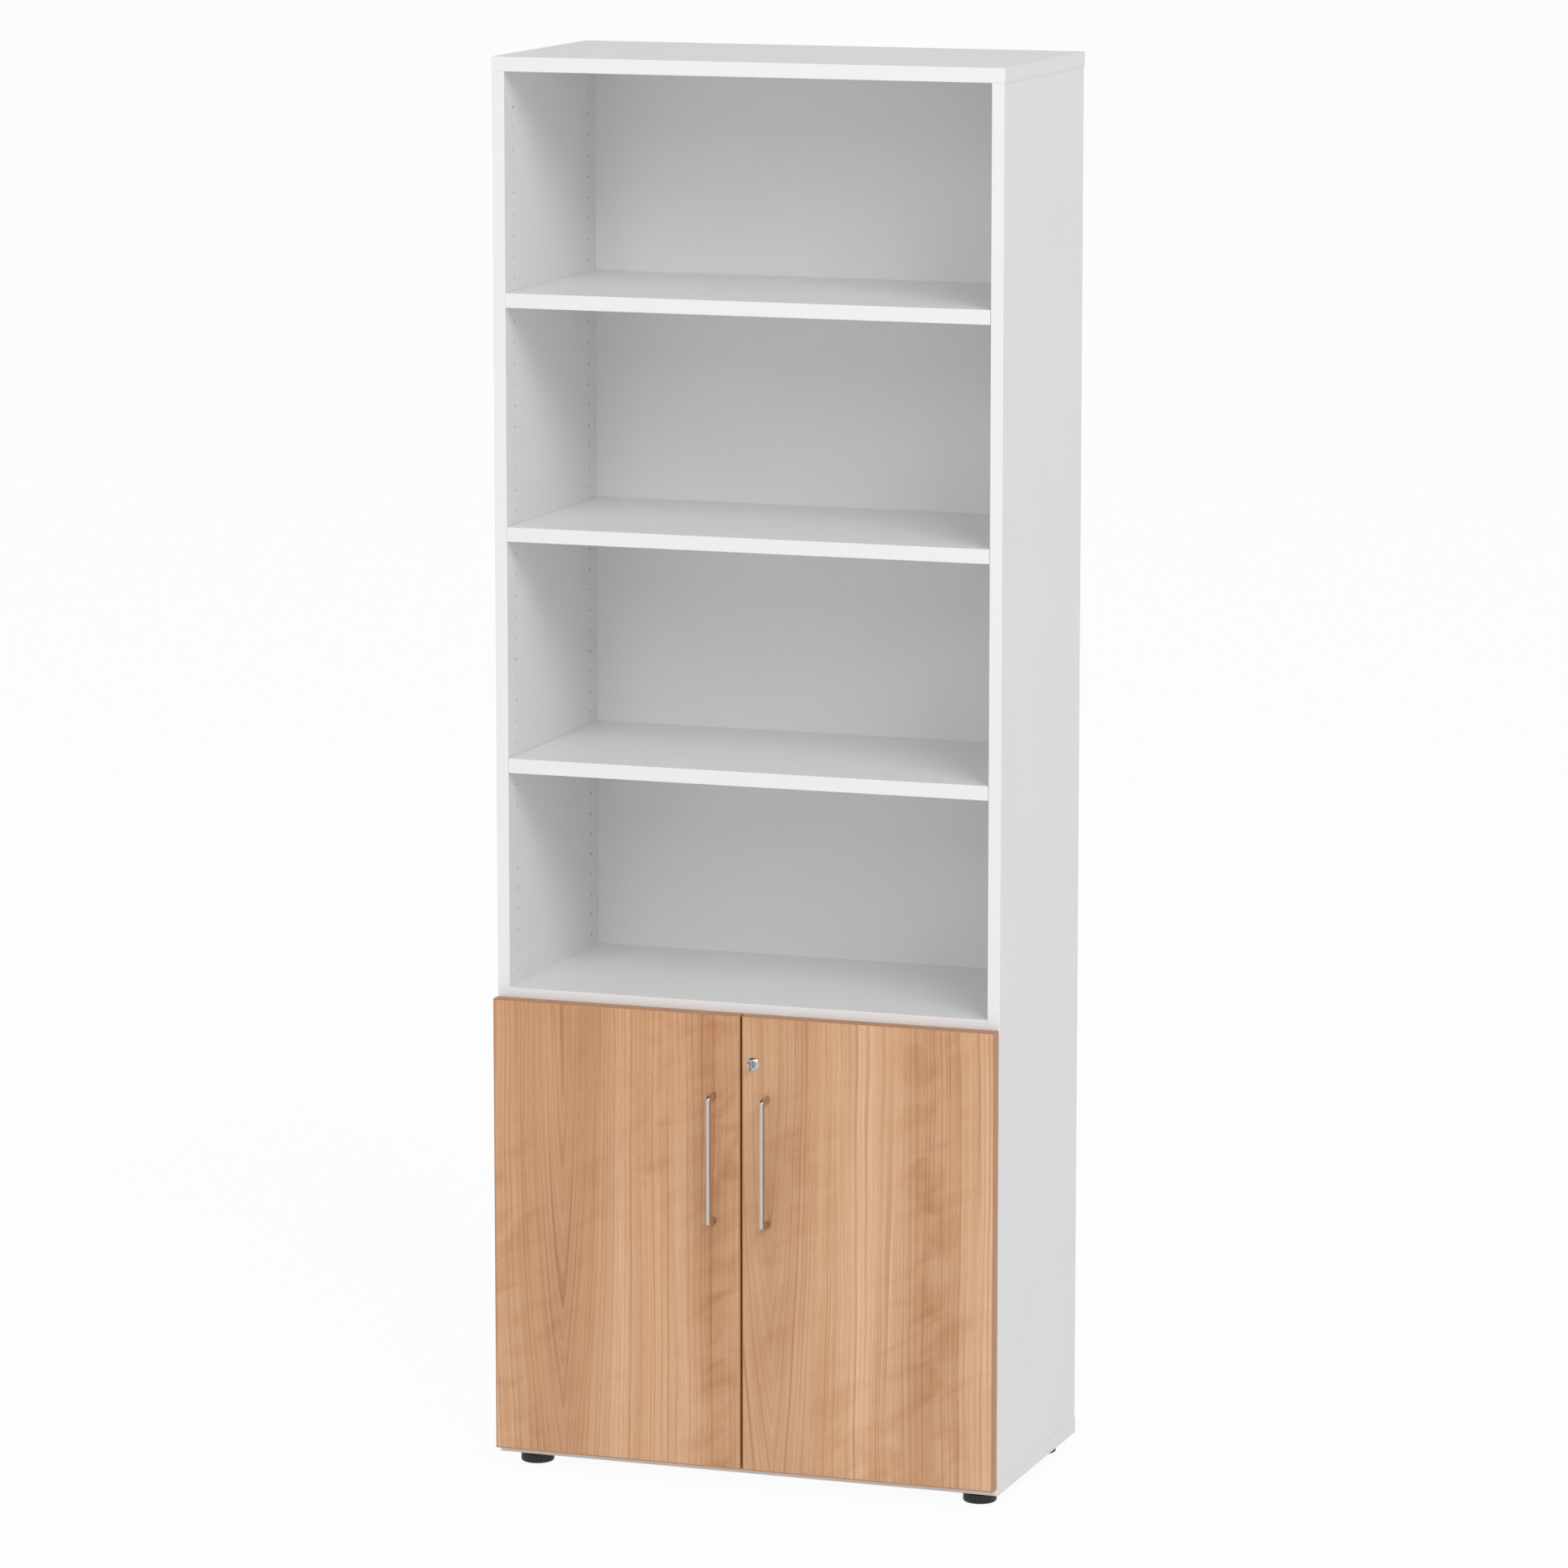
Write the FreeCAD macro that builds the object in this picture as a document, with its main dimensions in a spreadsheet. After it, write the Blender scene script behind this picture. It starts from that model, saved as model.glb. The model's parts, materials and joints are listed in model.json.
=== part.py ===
"""Bookcase with cabinet doors: a six-tier office bookcase in 32 mm system construction.

Four open tiers stand over a two-door cabinet. Two sides stand between a top and a bottom panel,
a constructional shelf closes the cabinet, and the other shelves hang on concealed pins in the
hole rows. The doors turn on single-pivot cup hinges; the right one carries a cam lock and the
left one a slide bolt. Millimetres, +Z up, +Y to the back, origin at the middle of the footprint.
"""
import FreeCAD, Part
import os
import re
import Sketcher

TIERS = 6
CABINET_TIERS = 2
SIDES = {"left": -1, "right": 1}
LEVELS = ("lower", "upper")
# Round pieces that repeat are drawn with flat sides, which keeps the model light; what turns
# in a bearing is a true cylinder.
ROUND_SIDES = 24
SMALL_SIDES = 12
PEG_SIDES = 6

# Driving sizes, in millimetres unless the name says count.
SIZES = {
    # carcass
    "width_overall": 800, "panel_overhang": 1, "side_thickness": 19, "side_depth": 397,
    "board_thickness": 22, "back_thickness": 8, "back_inset": 8, "groove_depth": 8,
    "back_play": 0.3, "shelf_play": 0.5, "shelf_back_play": 0.8, "inner_shelf_setback": 25,
    "edge_bevel": 0.6,
    # 32 mm system rows and the shelf pins
    "hole_pitch": 32, "holes_per_tier_count": 11, "hole_diameter": 5, "hole_depth": 12,
    "row_front_inset": 37, "row_rear_inset": 31, "pin_drop": 13, "pin_reach": 8,
    "pin_sunk": 11.5, "pin_play": 0.1, "notch_play": 0.3,
    # fluted dowels in the glued corners
    "dowel_diameter": 8, "dowel_length": 30, "dowel_in_panel": 12, "dowel_play": 0.05,
    "dowel_front_inset": 50, "dowel_rear_inset": 60,
    # levelling feet
    "foot_height": 22, "foot_diameter": 51, "foot_pad_height": 14, "foot_inset_side": 42,
    "foot_inset_end": 47, "foot_gap": 0.5, "foot_bevel": 1.5, "sleeve_diameter": 44,
    "sleeve_barrel_diameter": 16, "sleeve_barrel_height": 17, "spindle_diameter": 10,
    "spindle_length": 22, "spindle_play": 0.05, "key_access_diameter": 8, "cap_diameter": 12,
    "cap_thickness": 1.2, "cap_stem_length": 4, "cap_play": 0.1,
    # doors
    "door_thickness": 19, "door_gap": 3, "door_reveal": 0.5, "door_centre_gap": 3,
    "door_bottom_lift": 11, "door_top_drop": 14, "bumper_diameter": 7, "bumper_play": 0.3,
    "bumper_inset": 60,
    # cup hinges
    "hinge_inset": 110, "pivot_inset": 6.5, "pivot_depth": 8, "hinge_pin_diameter": 2.4,
    "hinge_pin_length": 14, "hinge_play": 0.05, "eye_diameter": 4.3, "eye_width": 8,
    "neck_play": 0.4, "eye_play": 0.35, "cup_diameter": 35, "cup_depth": 12.5, "cup_edge": 3,
    "cup_floor": 0.7, "cup_seat_play": 0.1, "rim_thickness": 1, "wing_length": 66,
    "wing_width": 14, "wing_bevel": 4, "wing_offset": 5.5, "throat_length": 4.5,
    "cavity_half_width": 11, "cavity_margin": 4.5, "strap_thickness": 2.4, "strap_floor_play": 0.5, "arm_gap": 0.5,
    "arm_rise": 5, "arm_width": 14, "arm_end": 58, "arm_wall": 1.6, "arm_foot_play": 0.3,
    "plate_thickness": 2, "plate_height": 6.5, "plate_width": 16, "plate_length": 50,
    "plate_bevel": 3, "rail_width": 10, "rail_start": 16, "rail_inset": 2,
    # bow handles
    "handle_offset": 42.5, "handle_centre": 491, "handle_length": 202, "handle_width": 5,
    "handle_bar_depth": 8, "handle_leg": 10, "handle_projection": 30, "handle_round": 8,
    "handle_inner_round": 5,
    # cam lock
    "lock_offset": 19, "lock_drop": 73, "barrel_diameter": 16, "barrel_play": 0.1,
    "barrel_behind": 4, "rosette_diameter": 19.4, "rosette_thickness": 2.6,
    "rosette_bevel": 1.2, "plug_diameter": 12, "plug_proud": 1, "plug_play": 0.05,
    "nut_thickness": 3, "nut_across": 22, "cam_thickness": 2, "cam_width": 14, "cam_reach": 35,
    "cam_round": 6, "cam_play": 0.3, "tail_width": 6, "tail_play": 0.1,
    "cam_screw_diameter": 9, "cam_screw_height": 2.5, "keyway_width": 2.4,
    "keyway_height": 8.6, "keyway_depth": 16, "key_play": 0.2, "key_neck": 3,
    "key_bow_length": 16, "key_bow_height": 15, "key_round": 5, "key_hole_diameter": 4,
    # keeper and slide bolt behind the left door
    "keeper_width": 16, "keeper_height": 30, "keeper_clear": 0.6, "keeper_inset": 2,
    "keeper_ramp": 1.5, "bolt_offset": 50, "bolt_diameter": 6,
    "bolt_length": 32, "bolt_stand_off": 9, "bolt_travel": 10, "bolt_top_gap": 3,
    "bolt_play": 0.1, "strike_play": 0.4, "strike_depth": 11, "guide_width": 26,
    "guide_depth": 13.5, "guide_height": 44, "guide_top_gap": 4, "guide_floor": 3,
    "knob_diameter": 5, "knob_reach": 9, "knob_inset": 22, "knob_play": 0.4,
}

# Places worked out from the sizes. Each may use the sizes and the names above it.
DERIVED = {
    "half_width": "width_overall / 2",
    "side_outer": "half_width - panel_overhang",
    "side_inner": "side_outer - side_thickness",
    "tier_height": "hole_pitch * holes_per_tier_count",
    "front": "(handle_projection + door_thickness + door_gap - side_depth - panel_overhang) / 2",
    "side_rear": "front + side_depth",
    "panel_rear": "side_rear + panel_overhang",
    "back_face": "side_rear - back_inset - back_thickness",
    "base": "foot_height",
    "floor": "base + board_thickness",
    "cabinet_top": f"floor + {CABINET_TIERS} * tier_height",
    "cabinet_ceiling": "cabinet_top - board_thickness",
    "crown": f"floor + {TIERS} * tier_height",
    "ceiling": "crown - board_thickness",
    "row_front": "front + row_front_inset",
    "row_rear": "back_face - row_rear_inset",
    "door_rear": "front - door_gap",
    "door_front": "door_rear - door_thickness",
    "door_low": "base + door_bottom_lift",
    "door_high": "cabinet_top - door_top_drop",
    "door_meet": "door_centre_gap / 2",
    "door_edge": "side_outer - door_reveal",
    "pivot_x": "door_edge - pivot_inset",
    "pivot_y": "door_rear - pivot_depth",
    "cup_x": "door_edge - cup_edge - cup_diameter / 2",
    "cup_rim": "door_rear + rim_thickness",
    "cavity_floor": "door_rear - cup_depth + cup_floor",
    "throat_end": "pivot_x - throat_length",
    "cavity_end": "cup_x - cup_diameter / 2 + cavity_margin",
    "wing_x": "cup_x - wing_offset",
    "strap_low": "cavity_floor + strap_floor_play",
    "strap_high": "strap_low + strap_thickness",
    "leg_outer": "side_inner - arm_gap",
    "leg_inner": "leg_outer - strap_thickness",
    "web_outer": "side_inner - plate_height",
    "web_inner": "web_outer - strap_thickness",
    "wall_edge": "side_inner - plate_thickness - arm_foot_play",
    "slant_low": "front + arm_rise",
    "slant_high": "slant_low + leg_inner - web_inner",
    "slant_shift": "strap_thickness * tan(22.5)",
    "channel_start": "slant_high + slant_shift",
    "arm_tail": "front + arm_end",
    "handle_z": "base + handle_centre",
    "handle_face": "door_front - handle_projection",
    "lock_z": "door_high - lock_drop",
    "rosette_front": "door_front - rosette_thickness",
    "plug_front": "rosette_front - plug_proud",
    "barrel_rear": "door_rear + barrel_behind",
    "cam_front": "barrel_rear + cam_play",
    "cam_rear": "cam_front + cam_thickness",
    "keeper_rear": "cam_front - keeper_clear",
    "bolt_y": "door_rear + bolt_stand_off",
    "bolt_top": "cabinet_ceiling - bolt_top_gap",
    "knob_z": "bolt_top - knob_inset",
    "guide_top": "cabinet_ceiling - guide_top_gap",
    "guide_low": "guide_top - guide_height",
}

doc = FreeCAD.newDocument("Bookcase")
sheet = doc.addObject("Spreadsheet::Sheet", "Sizes")
for row, (alias, size) in enumerate(SIZES.items(), start=1):
    sheet.set(f"A{row}", alias)
    sheet.set(f"B{row}", str(size))
    sheet.setAlias(f"B{row}", alias)
doc.recompute()


def formula(text):
    """The expression with derived names opened up and sizes read from the sheet."""
    def open_name(match):
        name = match.group(0)
        if name in DERIVED:
            return "(" + formula(DERIVED[name]) + ")"
        return "Sizes." + name if name in SIZES else name
    return re.sub(r"[a-z_]+[a-z_0-9]*", open_name, str(text))


def number(text):
    """The expression's value in millimetres."""
    return float(sheet.evalExpression(formula(text)))


def shelf_top(tier):
    """Top face of the shelf above so many tiers."""
    return f"(floor + {tier} * tier_height)"


def mirrored(sign, low, high):
    """Low and high corner of a span that is given for the right side."""
    return (low, high) if sign > 0 else (f"-({high})", f"-({low})")


# ---------------------------------------------------------------- primitives and booleans

def place(piece, x="0", y="0", z="0"):
    """Bind a piece's place to the sizes."""
    for axis, text in zip("xyz", (x, y, z)):
        piece.setExpression(f"Placement.Base.{axis}", formula(text))


def block(label, x_span, y_span, z_span):
    """A Part::Box from low and high corners."""
    box = doc.addObject("Part::Box", label)
    for name, (low, high) in zip(("Length", "Width", "Height"), (x_span, y_span, z_span)):
        box.setExpression(name, formula(f"({high}) - ({low})"))
    place(box, x_span[0], y_span[0], z_span[0])
    return box


def turn_to(piece, axis):
    """Turn a piece's own Z to a row axis; a leading minus sign turns it the other way."""
    directions = {"x": (1, 0, 0), "y": (0, 1, 0), "z": (0, 0, 1)}
    direction = FreeCAD.Vector(*directions[axis[-1]])
    if axis[0] == "-":
        direction = -direction
    piece.Placement.Rotation = FreeCAD.Rotation(FreeCAD.Vector(0, 0, 1), direction)


def cylinder(label, diameter, length, start, axis="z"):
    """A Part::Cylinder that runs along an axis from a point."""
    solid = doc.addObject("Part::Cylinder", label)
    solid.setExpression("Radius", formula(f"({diameter}) / 2"))
    solid.setExpression("Height", formula(length))
    turn_to(solid, axis)
    place(solid, *start)
    return solid


def rod(label, diameter, length, start, axis="z", sides=ROUND_SIDES):
    """A Part::Prism whose corners lie on its diameter, run along an axis from a point."""
    solid = doc.addObject("Part::Prism", label)
    solid.Polygon = sides
    solid.setExpression("Circumradius", formula(f"({diameter}) / 2"))
    solid.setExpression("Height", formula(length))
    turn_to(solid, axis)
    place(solid, *start)
    return solid


def bore(label, diameter, length, start, axis="z", sides=ROUND_SIDES):
    """As rod, but the flat sides touch the diameter, so that a rod of it turns inside."""
    return rod(label, f"({diameter}) / cos(180 / {sides})", length, start, axis, sides)


def fuse(label, members):
    """One solid from several."""
    joined = doc.addObject("Part::MultiFuse", label)
    joined.Shapes = members
    joined.Refine = True
    return joined


def cut(label, base, tools):
    """A solid less the tools."""
    less = doc.addObject("Part::Cut", label)
    less.Base = base
    less.Tool = tools[0] if len(tools) == 1 else group(label + "_tools", tools)
    return less


def group(label, members):
    """Identical pieces kept as separate solids of one node."""
    compound = doc.addObject("Part::Compound", label)
    compound.Links = members
    return compound


# ---------------------------------------------------------------- bodies, sketches, features

NORMALS = {"XY_Plane": 1, "XZ_Plane": -1, "YZ_Plane": 1}


class Bench:
    """A PartDesign body and the features that are added to it in turn."""

    def __init__(self, label):
        self.body = doc.addObject("PartDesign::Body", label)
        self.label = label
        self.count = 0

    def sketch(self, plane, at):
        """A sketch on an origin plane of the body, moved to a coordinate along its normal."""
        self.count += 1
        drawing = self.body.newObject("Sketcher::SketchObject", f"{self.label}_sketch_{self.count}")
        planes = [p for p in self.body.Origin.OriginFeatures if p.Role == plane]
        drawing.AttachmentSupport = [(planes[0], "")]
        drawing.MapMode = "FlatFace"
        drawing.setExpression("AttachmentOffset.Base.z", formula(f"{NORMALS[plane]} * ({at})"))
        self.normal = NORMALS[plane]
        return drawing

    def _feature(self, kind, drawing, length, towards, both):
        feature = self.body.newObject(f"PartDesign::{kind}", f"{self.label}_{kind}_{self.count}")
        feature.Profile = drawing
        feature.setExpression("Length", formula(length))
        forward = self.normal if kind == "Pad" else -self.normal
        feature.Reversed = towards != forward
        if both:
            feature.Midplane = True
        self.body.Tip = feature
        return feature

    def pad(self, drawing, length, towards=1, both=False):
        """Add material from the sketch towards plus or minus along the row axis."""
        return self._feature("Pad", drawing, length, towards, both)

    def pocket(self, drawing, length, towards=1, both=False):
        """Remove material from the sketch towards plus or minus along the row axis."""
        return self._feature("Pocket", drawing, length, towards, both)

    def pattern(self, feature, drawing, axis, spacing, copies):
        """Repeat a feature along an axis of its sketch."""
        copy = self.body.newObject("PartDesign::LinearPattern", f"{self.label}_row_{self.count}")
        copy.Originals = [feature]
        copy.Direction = (drawing, [axis])
        copy.setExpression("Length", formula(f"({spacing}) * ({copies} - 1)"))
        copy.setExpression("Occurrences", formula(copies))
        self.body.Tip = copy
        return copy

    def dress_edges(self, kind, size_name, size, wanted):
        """Fillet or chamfer the edges of the tip that the test picks."""
        doc.recompute()
        base = self.body.Tip
        edges = [f"Edge{i}" for i, e in enumerate(base.Shape.Edges, start=1) if wanted(e)]
        dressed = self.body.newObject(f"PartDesign::{kind}", f"{self.label}_{kind}")
        dressed.Base = (base, edges)
        dressed.setExpression(size_name, formula(size))
        self.body.Tip = dressed

    def round_edges(self, radius, wanted):
        """Round the picked edges."""
        self.dress_edges("Fillet", "Radius", radius, wanted)

    def bevel_edges(self, size, wanted):
        """Bevel the picked edges."""
        self.dress_edges("Chamfer", "Size", size, wanted)


def outline(drawing, corners):
    """A closed outline whose corners are bound to the sizes."""
    first = drawing.GeometryCount
    points = [FreeCAD.Vector(number(x), number(y), 0) for x, y in corners]
    total = len(points)
    for here, there in zip(points, points[1:] + points[:1]):
        drawing.addGeometry(Part.LineSegment(here, there), False)
    for i in range(total):
        following = first + (i + 1) % total
        drawing.addConstraint(Sketcher.Constraint("Coincident", first + i, 2, following, 1))
    for i, texts in enumerate(corners):
        for kind, text in zip(("DistanceX", "DistanceY"), texts):
            index = drawing.addConstraint(
                Sketcher.Constraint(kind, -1, 1, first + i, 1, number(text)))
            drawing.setExpression(f"Constraints[{index}]", formula(text))


def rectangle(drawing, x_span, y_span):
    """A rectangle from low and high corners."""
    (x0, x1), (y0, y1) = x_span, y_span
    outline(drawing, [(x0, y0), (x1, y0), (x1, y1), (x0, y1)])


def ring(drawing, x, y, diameter, sides=ROUND_SIDES):
    """A many-sided outline whose corners lie on a diameter."""
    turns = [360 / sides * k for k in range(sides)]
    outline(drawing, [(f"({x}) + ({diameter}) / 2 * cos({turn})",
                       f"({y}) + ({diameter}) / 2 * sin({turn})") for turn in turns])


def hole(drawing, x, y, diameter, sides=ROUND_SIDES):
    """As ring, but the flat sides touch the diameter, so that a rod of it turns inside."""
    ring(drawing, x, y, f"({diameter}) / cos(180 / {sides})", sides)


def circle(drawing, x, y, diameter):
    """A circle whose centre and size are bound to the sizes."""
    centre = FreeCAD.Vector(number(x), number(y), 0)
    rim = Part.Circle(centre, FreeCAD.Vector(0, 0, 1), number(diameter) / 2)
    geometry = drawing.addGeometry(rim, False)
    for kind, text in (("DistanceX", x), ("DistanceY", y)):
        index = drawing.addConstraint(
            Sketcher.Constraint(kind, -1, 1, geometry, 3, number(text)))
        drawing.setExpression(f"Constraints[{index}]", formula(text))
    index = drawing.addConstraint(Sketcher.Constraint("Diameter", geometry, number(diameter)))
    drawing.setExpression(f"Constraints[{index}]", formula(diameter))


def along(edge, axis):
    """Whether a straight edge runs along a row axis."""
    if edge.Curve.TypeId != "Part::GeomLine":
        return False
    return abs(getattr(edge.tangentAt(edge.FirstParameter), axis)) > 0.999


# ---------------------------------------------------------------- places shared by pieces

def hinge_z(level):
    """Height of a hinge: midway between the two system holes nearest to its inset."""
    wish = {"lower": "door_low + hinge_inset", "upper": "door_high - hinge_inset"}[level]
    first = "(floor - pin_drop + hole_pitch)"
    steps = f"round(({wish} - {first}) / hole_pitch - 0.5)"
    return f"({first} + ({steps} + 0.5) * hole_pitch)"


def dowel_depths(depth_end):
    """Depths of the dowels in one joint: near the front, in the middle and near the back."""
    first = "(front + dowel_front_inset)"
    last = f"({depth_end} - dowel_rear_inset)"
    return [first, f"(({first} + {last}) / 2)", last]


def foot_places():
    """Name and centre of each foot."""
    depths = {"front": "front + foot_inset_end", "rear": "side_rear - foot_inset_end"}
    return {f"{end}_{side}": (f"{sign} * (side_outer - foot_inset_side)", y)
            for end, y in depths.items() for side, sign in SIDES.items()}


def pin_places(tier):
    """Side, depth and height of the four pins under a shelf."""
    return [(sign, y, f"{shelf_top(tier)} - pin_drop")
            for sign in SIDES.values() for y in ("row_front", "row_rear")]


# ---------------------------------------------------------------- dowels and their bores

DOWEL = "dowel_diameter"
DOWEL_BORE = "dowel_diameter + 2 * dowel_play"


def upright_row(label, make, diameter, sign, z_span):
    """Dowels or bores on the centre line of one side panel."""
    low, high = z_span
    return [make(f"{label}_{i}", diameter, f"({high}) - ({low})",
                 (f"{sign} * (side_inner + side_outer) / 2", y, low), sides=PEG_SIDES)
            for i, y in enumerate(dowel_depths("side_rear"))]


def level_row(label, make, diameter, sign, reach_span):
    """Dowels or bores in the joint of the fixed shelf and one side."""
    low, high = mirrored(sign, *(f"side_inner + {reach}" for reach in reach_span))
    return [make(f"{label}_{i}", diameter, f"({high}) - ({low})",
                 (low, y, "cabinet_top - board_thickness / 2"), "x", PEG_SIDES)
            for i, y in enumerate(dowel_depths("back_face"))]


def make_dowels():
    """Glued dowels: upright ones in both ends of the sides, level ones in the fixed shelf."""
    spans = {
        "bottom_dowels": ("floor - dowel_in_panel", "floor - dowel_in_panel + dowel_length"),
        "top_dowels": ("ceiling + dowel_in_panel - dowel_length", "ceiling + dowel_in_panel"),
    }
    for label, span in spans.items():
        members = []
        for side, sign in SIDES.items():
            members += upright_row(f"{label}_{side}", rod, DOWEL, sign, span)
        group(label, members)
    reach = ("dowel_in_panel - dowel_length", "dowel_in_panel")
    members = []
    for side, sign in SIDES.items():
        members += level_row(f"shelf_dowels_{side}", rod, DOWEL, sign, reach)
    group("fixed_shelf_dowels", members)


IN_PANEL = "(dowel_in_panel + dowel_play)"
IN_BOARD = "(dowel_length - dowel_in_panel + dowel_play)"


# ---------------------------------------------------------------- carcass panels

def make_side(side, sign):
    """Side panel: back groove, dowel bores and two system rows."""
    inner = f"{sign} * side_inner"
    middle = f"{sign} * (side_inner + side_outer) / 2"
    bench = Bench(f"side_{side}")
    face = bench.sketch("YZ_Plane", inner)
    rectangle(face, ("front", "side_rear"), ("floor", "ceiling"))
    bench.pad(face, "side_thickness", towards=sign)
    bench.bevel_edges("edge_bevel", front_edges("z"))

    groove = bench.sketch("YZ_Plane", inner)
    rectangle(groove, ("back_face", "back_face + back_thickness"), ("floor", "ceiling"))
    bench.pocket(groove, "groove_depth", towards=sign)
    for end, towards in (("floor", 1), ("ceiling", -1)):
        bores = bench.sketch("XY_Plane", end)
        for y in dowel_depths("side_rear"):
            hole(bores, middle, y, DOWEL_BORE, PEG_SIDES)
        bench.pocket(bores, IN_BOARD, towards=towards)
    bores = bench.sketch("YZ_Plane", inner)
    for y in dowel_depths("back_face"):
        hole(bores, y, "cabinet_top - board_thickness / 2", DOWEL_BORE, PEG_SIDES)
    bench.pocket(bores, IN_PANEL, towards=sign)

    open_rows = f"{TIERS - CABINET_TIERS} * holes_per_tier_count - 2"
    rows = ((f"{shelf_top(1)} - pin_drop - 2 * hole_pitch", "5"),
            ("cabinet_top - pin_drop + hole_pitch", open_rows))
    for lowest, copies in rows:
        pair = bench.sketch("YZ_Plane", inner)
        for y in ("row_front", "row_rear"):
            hole(pair, y, lowest, "hole_diameter", PEG_SIDES)
        drilled = bench.pocket(pair, "hole_depth", towards=sign)
        bench.pattern(drilled, pair, "V_Axis", "hole_pitch", copies)


def front_edges(axis):
    """Picks the straight edges along an axis that lie in the carcass front."""
    depth = number("front")
    return lambda edge: along(edge, axis) and abs(edge.CenterOfMass.y - depth) < 1e-4


def board(label, half, y_end, top, y_start="front"):
    """A level board with softened front edges."""
    bench = Bench(label)
    plan = bench.sketch("XY_Plane", f"({top}) - board_thickness")
    rectangle(plan, (f"-({half})", half), (y_start, y_end))
    bench.pad(plan, "board_thickness")
    depth = number(y_start)
    bench.bevel_edges("edge_bevel",
                      lambda e: along(e, "x") and abs(e.CenterOfMass.y - depth) < 1e-4)
    return bench


def back_groove(label, z_span):
    """The slot for the back panel in the top or bottom panel."""
    reach = "side_inner + groove_depth"
    return block(label, (f"-({reach})", reach), ("back_face", "back_face + back_thickness"),
                 z_span)


def make_top():
    """Top panel with the back groove and dowel bores in its underside."""
    panel = board("top_board", "half_width", "panel_rear", "crown")
    tools = [back_groove("top_groove", ("ceiling", "ceiling + groove_depth"))]
    for side, sign in SIDES.items():
        tools += upright_row(f"top_bore_{side}", bore, DOWEL_BORE, sign,
                              ("ceiling", f"ceiling + {IN_PANEL}"))
    return cut("top_panel", panel.body, tools)


def make_bottom():
    """Bottom panel with the back groove, dowel bores and stepped bores for the feet."""
    panel = board("bottom_board", "half_width", "panel_rear", "floor")
    tools = [back_groove("bottom_groove", ("floor - groove_depth", "floor"))]
    for side, sign in SIDES.items():
        tools += upright_row(f"bottom_bore_{side}", bore, DOWEL_BORE, sign,
                              (f"floor - {IN_PANEL}", "floor"))
    for name, (x, y) in foot_places().items():
        tools.append(bore(f"sleeve_bore_{name}", "sleeve_barrel_diameter + 2 * cap_play",
                          "sleeve_barrel_height + cap_play", (x, y, "base"),
                          sides=SMALL_SIDES))
        tools.append(bore(f"access_{name}", "key_access_diameter", "board_thickness",
                          (x, y, "base"), sides=SMALL_SIDES))
    return cut("bottom_panel", panel.body, tools)


def make_back():
    """Back panel let into the grooves all round."""
    half = "side_inner + groove_depth - back_play"
    reach = "groove_depth - back_play"
    block("back_panel", (f"-({half})", half), ("back_face", "back_face + back_thickness"),
          (f"floor - ({reach})", f"ceiling + ({reach})"))


def make_fixed_shelf():
    """Constructional shelf over the cabinet, with dowel bores and the slide bolt's strike."""
    panel = board("fixed_board", "side_inner", "back_face", "cabinet_top")
    tools = []
    for side, sign in SIDES.items():
        tools += level_row(f"fixed_bore_{side}", bore, DOWEL_BORE, sign,
                            (f"0 - {IN_BOARD}", "0"))
    tools.append(bore("bolt_strike", "bolt_diameter + 2 * strike_play", "strike_depth",
                      ("-bolt_offset", "bolt_y", "cabinet_ceiling"), sides=SMALL_SIDES))
    return cut("fixed_shelf", panel.body, tools)


def make_hung_shelf(label, tier, setback="0"):
    """Shelf that drops over four pins, which sit in notches in its underside."""
    half = "side_inner - shelf_play"
    bench = board(label, half, "back_face - shelf_back_play", shelf_top(tier),
                  f"front + {setback}")
    notches = bench.sketch("XY_Plane", f"{shelf_top(tier)} - board_thickness")
    for sign, y, _ in pin_places(tier):
        reach = mirrored(sign, "side_inner - pin_reach - pin_play - shelf_play", half)
        wide = "(hole_diameter / 2 + notch_play)"
        rectangle(notches, reach, (f"{y} - {wide}", f"{y} + {wide}"))
    bench.pocket(notches, "board_thickness - pin_drop + hole_diameter / 2", towards=1)
    pins = []
    for i, (sign, y, z) in enumerate(pin_places(tier)):
        start, _ = mirrored(sign, "side_inner - pin_reach", "side_inner + pin_sunk")
        pins.append(rod(f"{label}_pin_{i}", "hole_diameter - 2 * pin_play",
                        "pin_reach + pin_sunk", (start, y, z), "x", PEG_SIDES))
    group(f"{label}_pins", pins)


# ---------------------------------------------------------------- levelling feet

def make_foot(name, x, y):
    """Foot pad with its threaded spindle."""
    bench = Bench(f"foot_{name}")
    pad = bench.sketch("XY_Plane", "0")
    ring(pad, x, y, "foot_diameter")
    bench.pad(pad, "foot_pad_height")
    bench.bevel_edges("foot_bevel", lambda edge: abs(edge.CenterOfMass.z) < 1e-4)
    spindle = bench.sketch("XY_Plane", "foot_pad_height")
    ring(spindle, x, y, "spindle_diameter", SMALL_SIDES)
    bench.pad(spindle, "spindle_length")


def make_sleeves():
    """Flanged threaded sleeves under the bottom panel, one for each foot."""
    sleeves = []
    for name, (x, y) in foot_places().items():
        start = (x, y, "(foot_pad_height + foot_gap)")
        flange_height = "(foot_height - foot_pad_height - foot_gap)"
        height = f"{flange_height} + sleeve_barrel_height"
        flange = rod(f"flange_{name}", "sleeve_diameter", flange_height, start)
        barrel = rod(f"barrel_{name}", "sleeve_barrel_diameter", height, start,
                     sides=SMALL_SIDES)
        thread = bore(f"thread_{name}", "spindle_diameter + 2 * spindle_play", height, start,
                      sides=SMALL_SIDES)
        blank = fuse(f"sleeve_blank_{name}", [flange, barrel])
        sleeves.append(cut(f"sleeve_{name}", blank, [thread]))
    group("foot_sleeves", sleeves)


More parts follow.
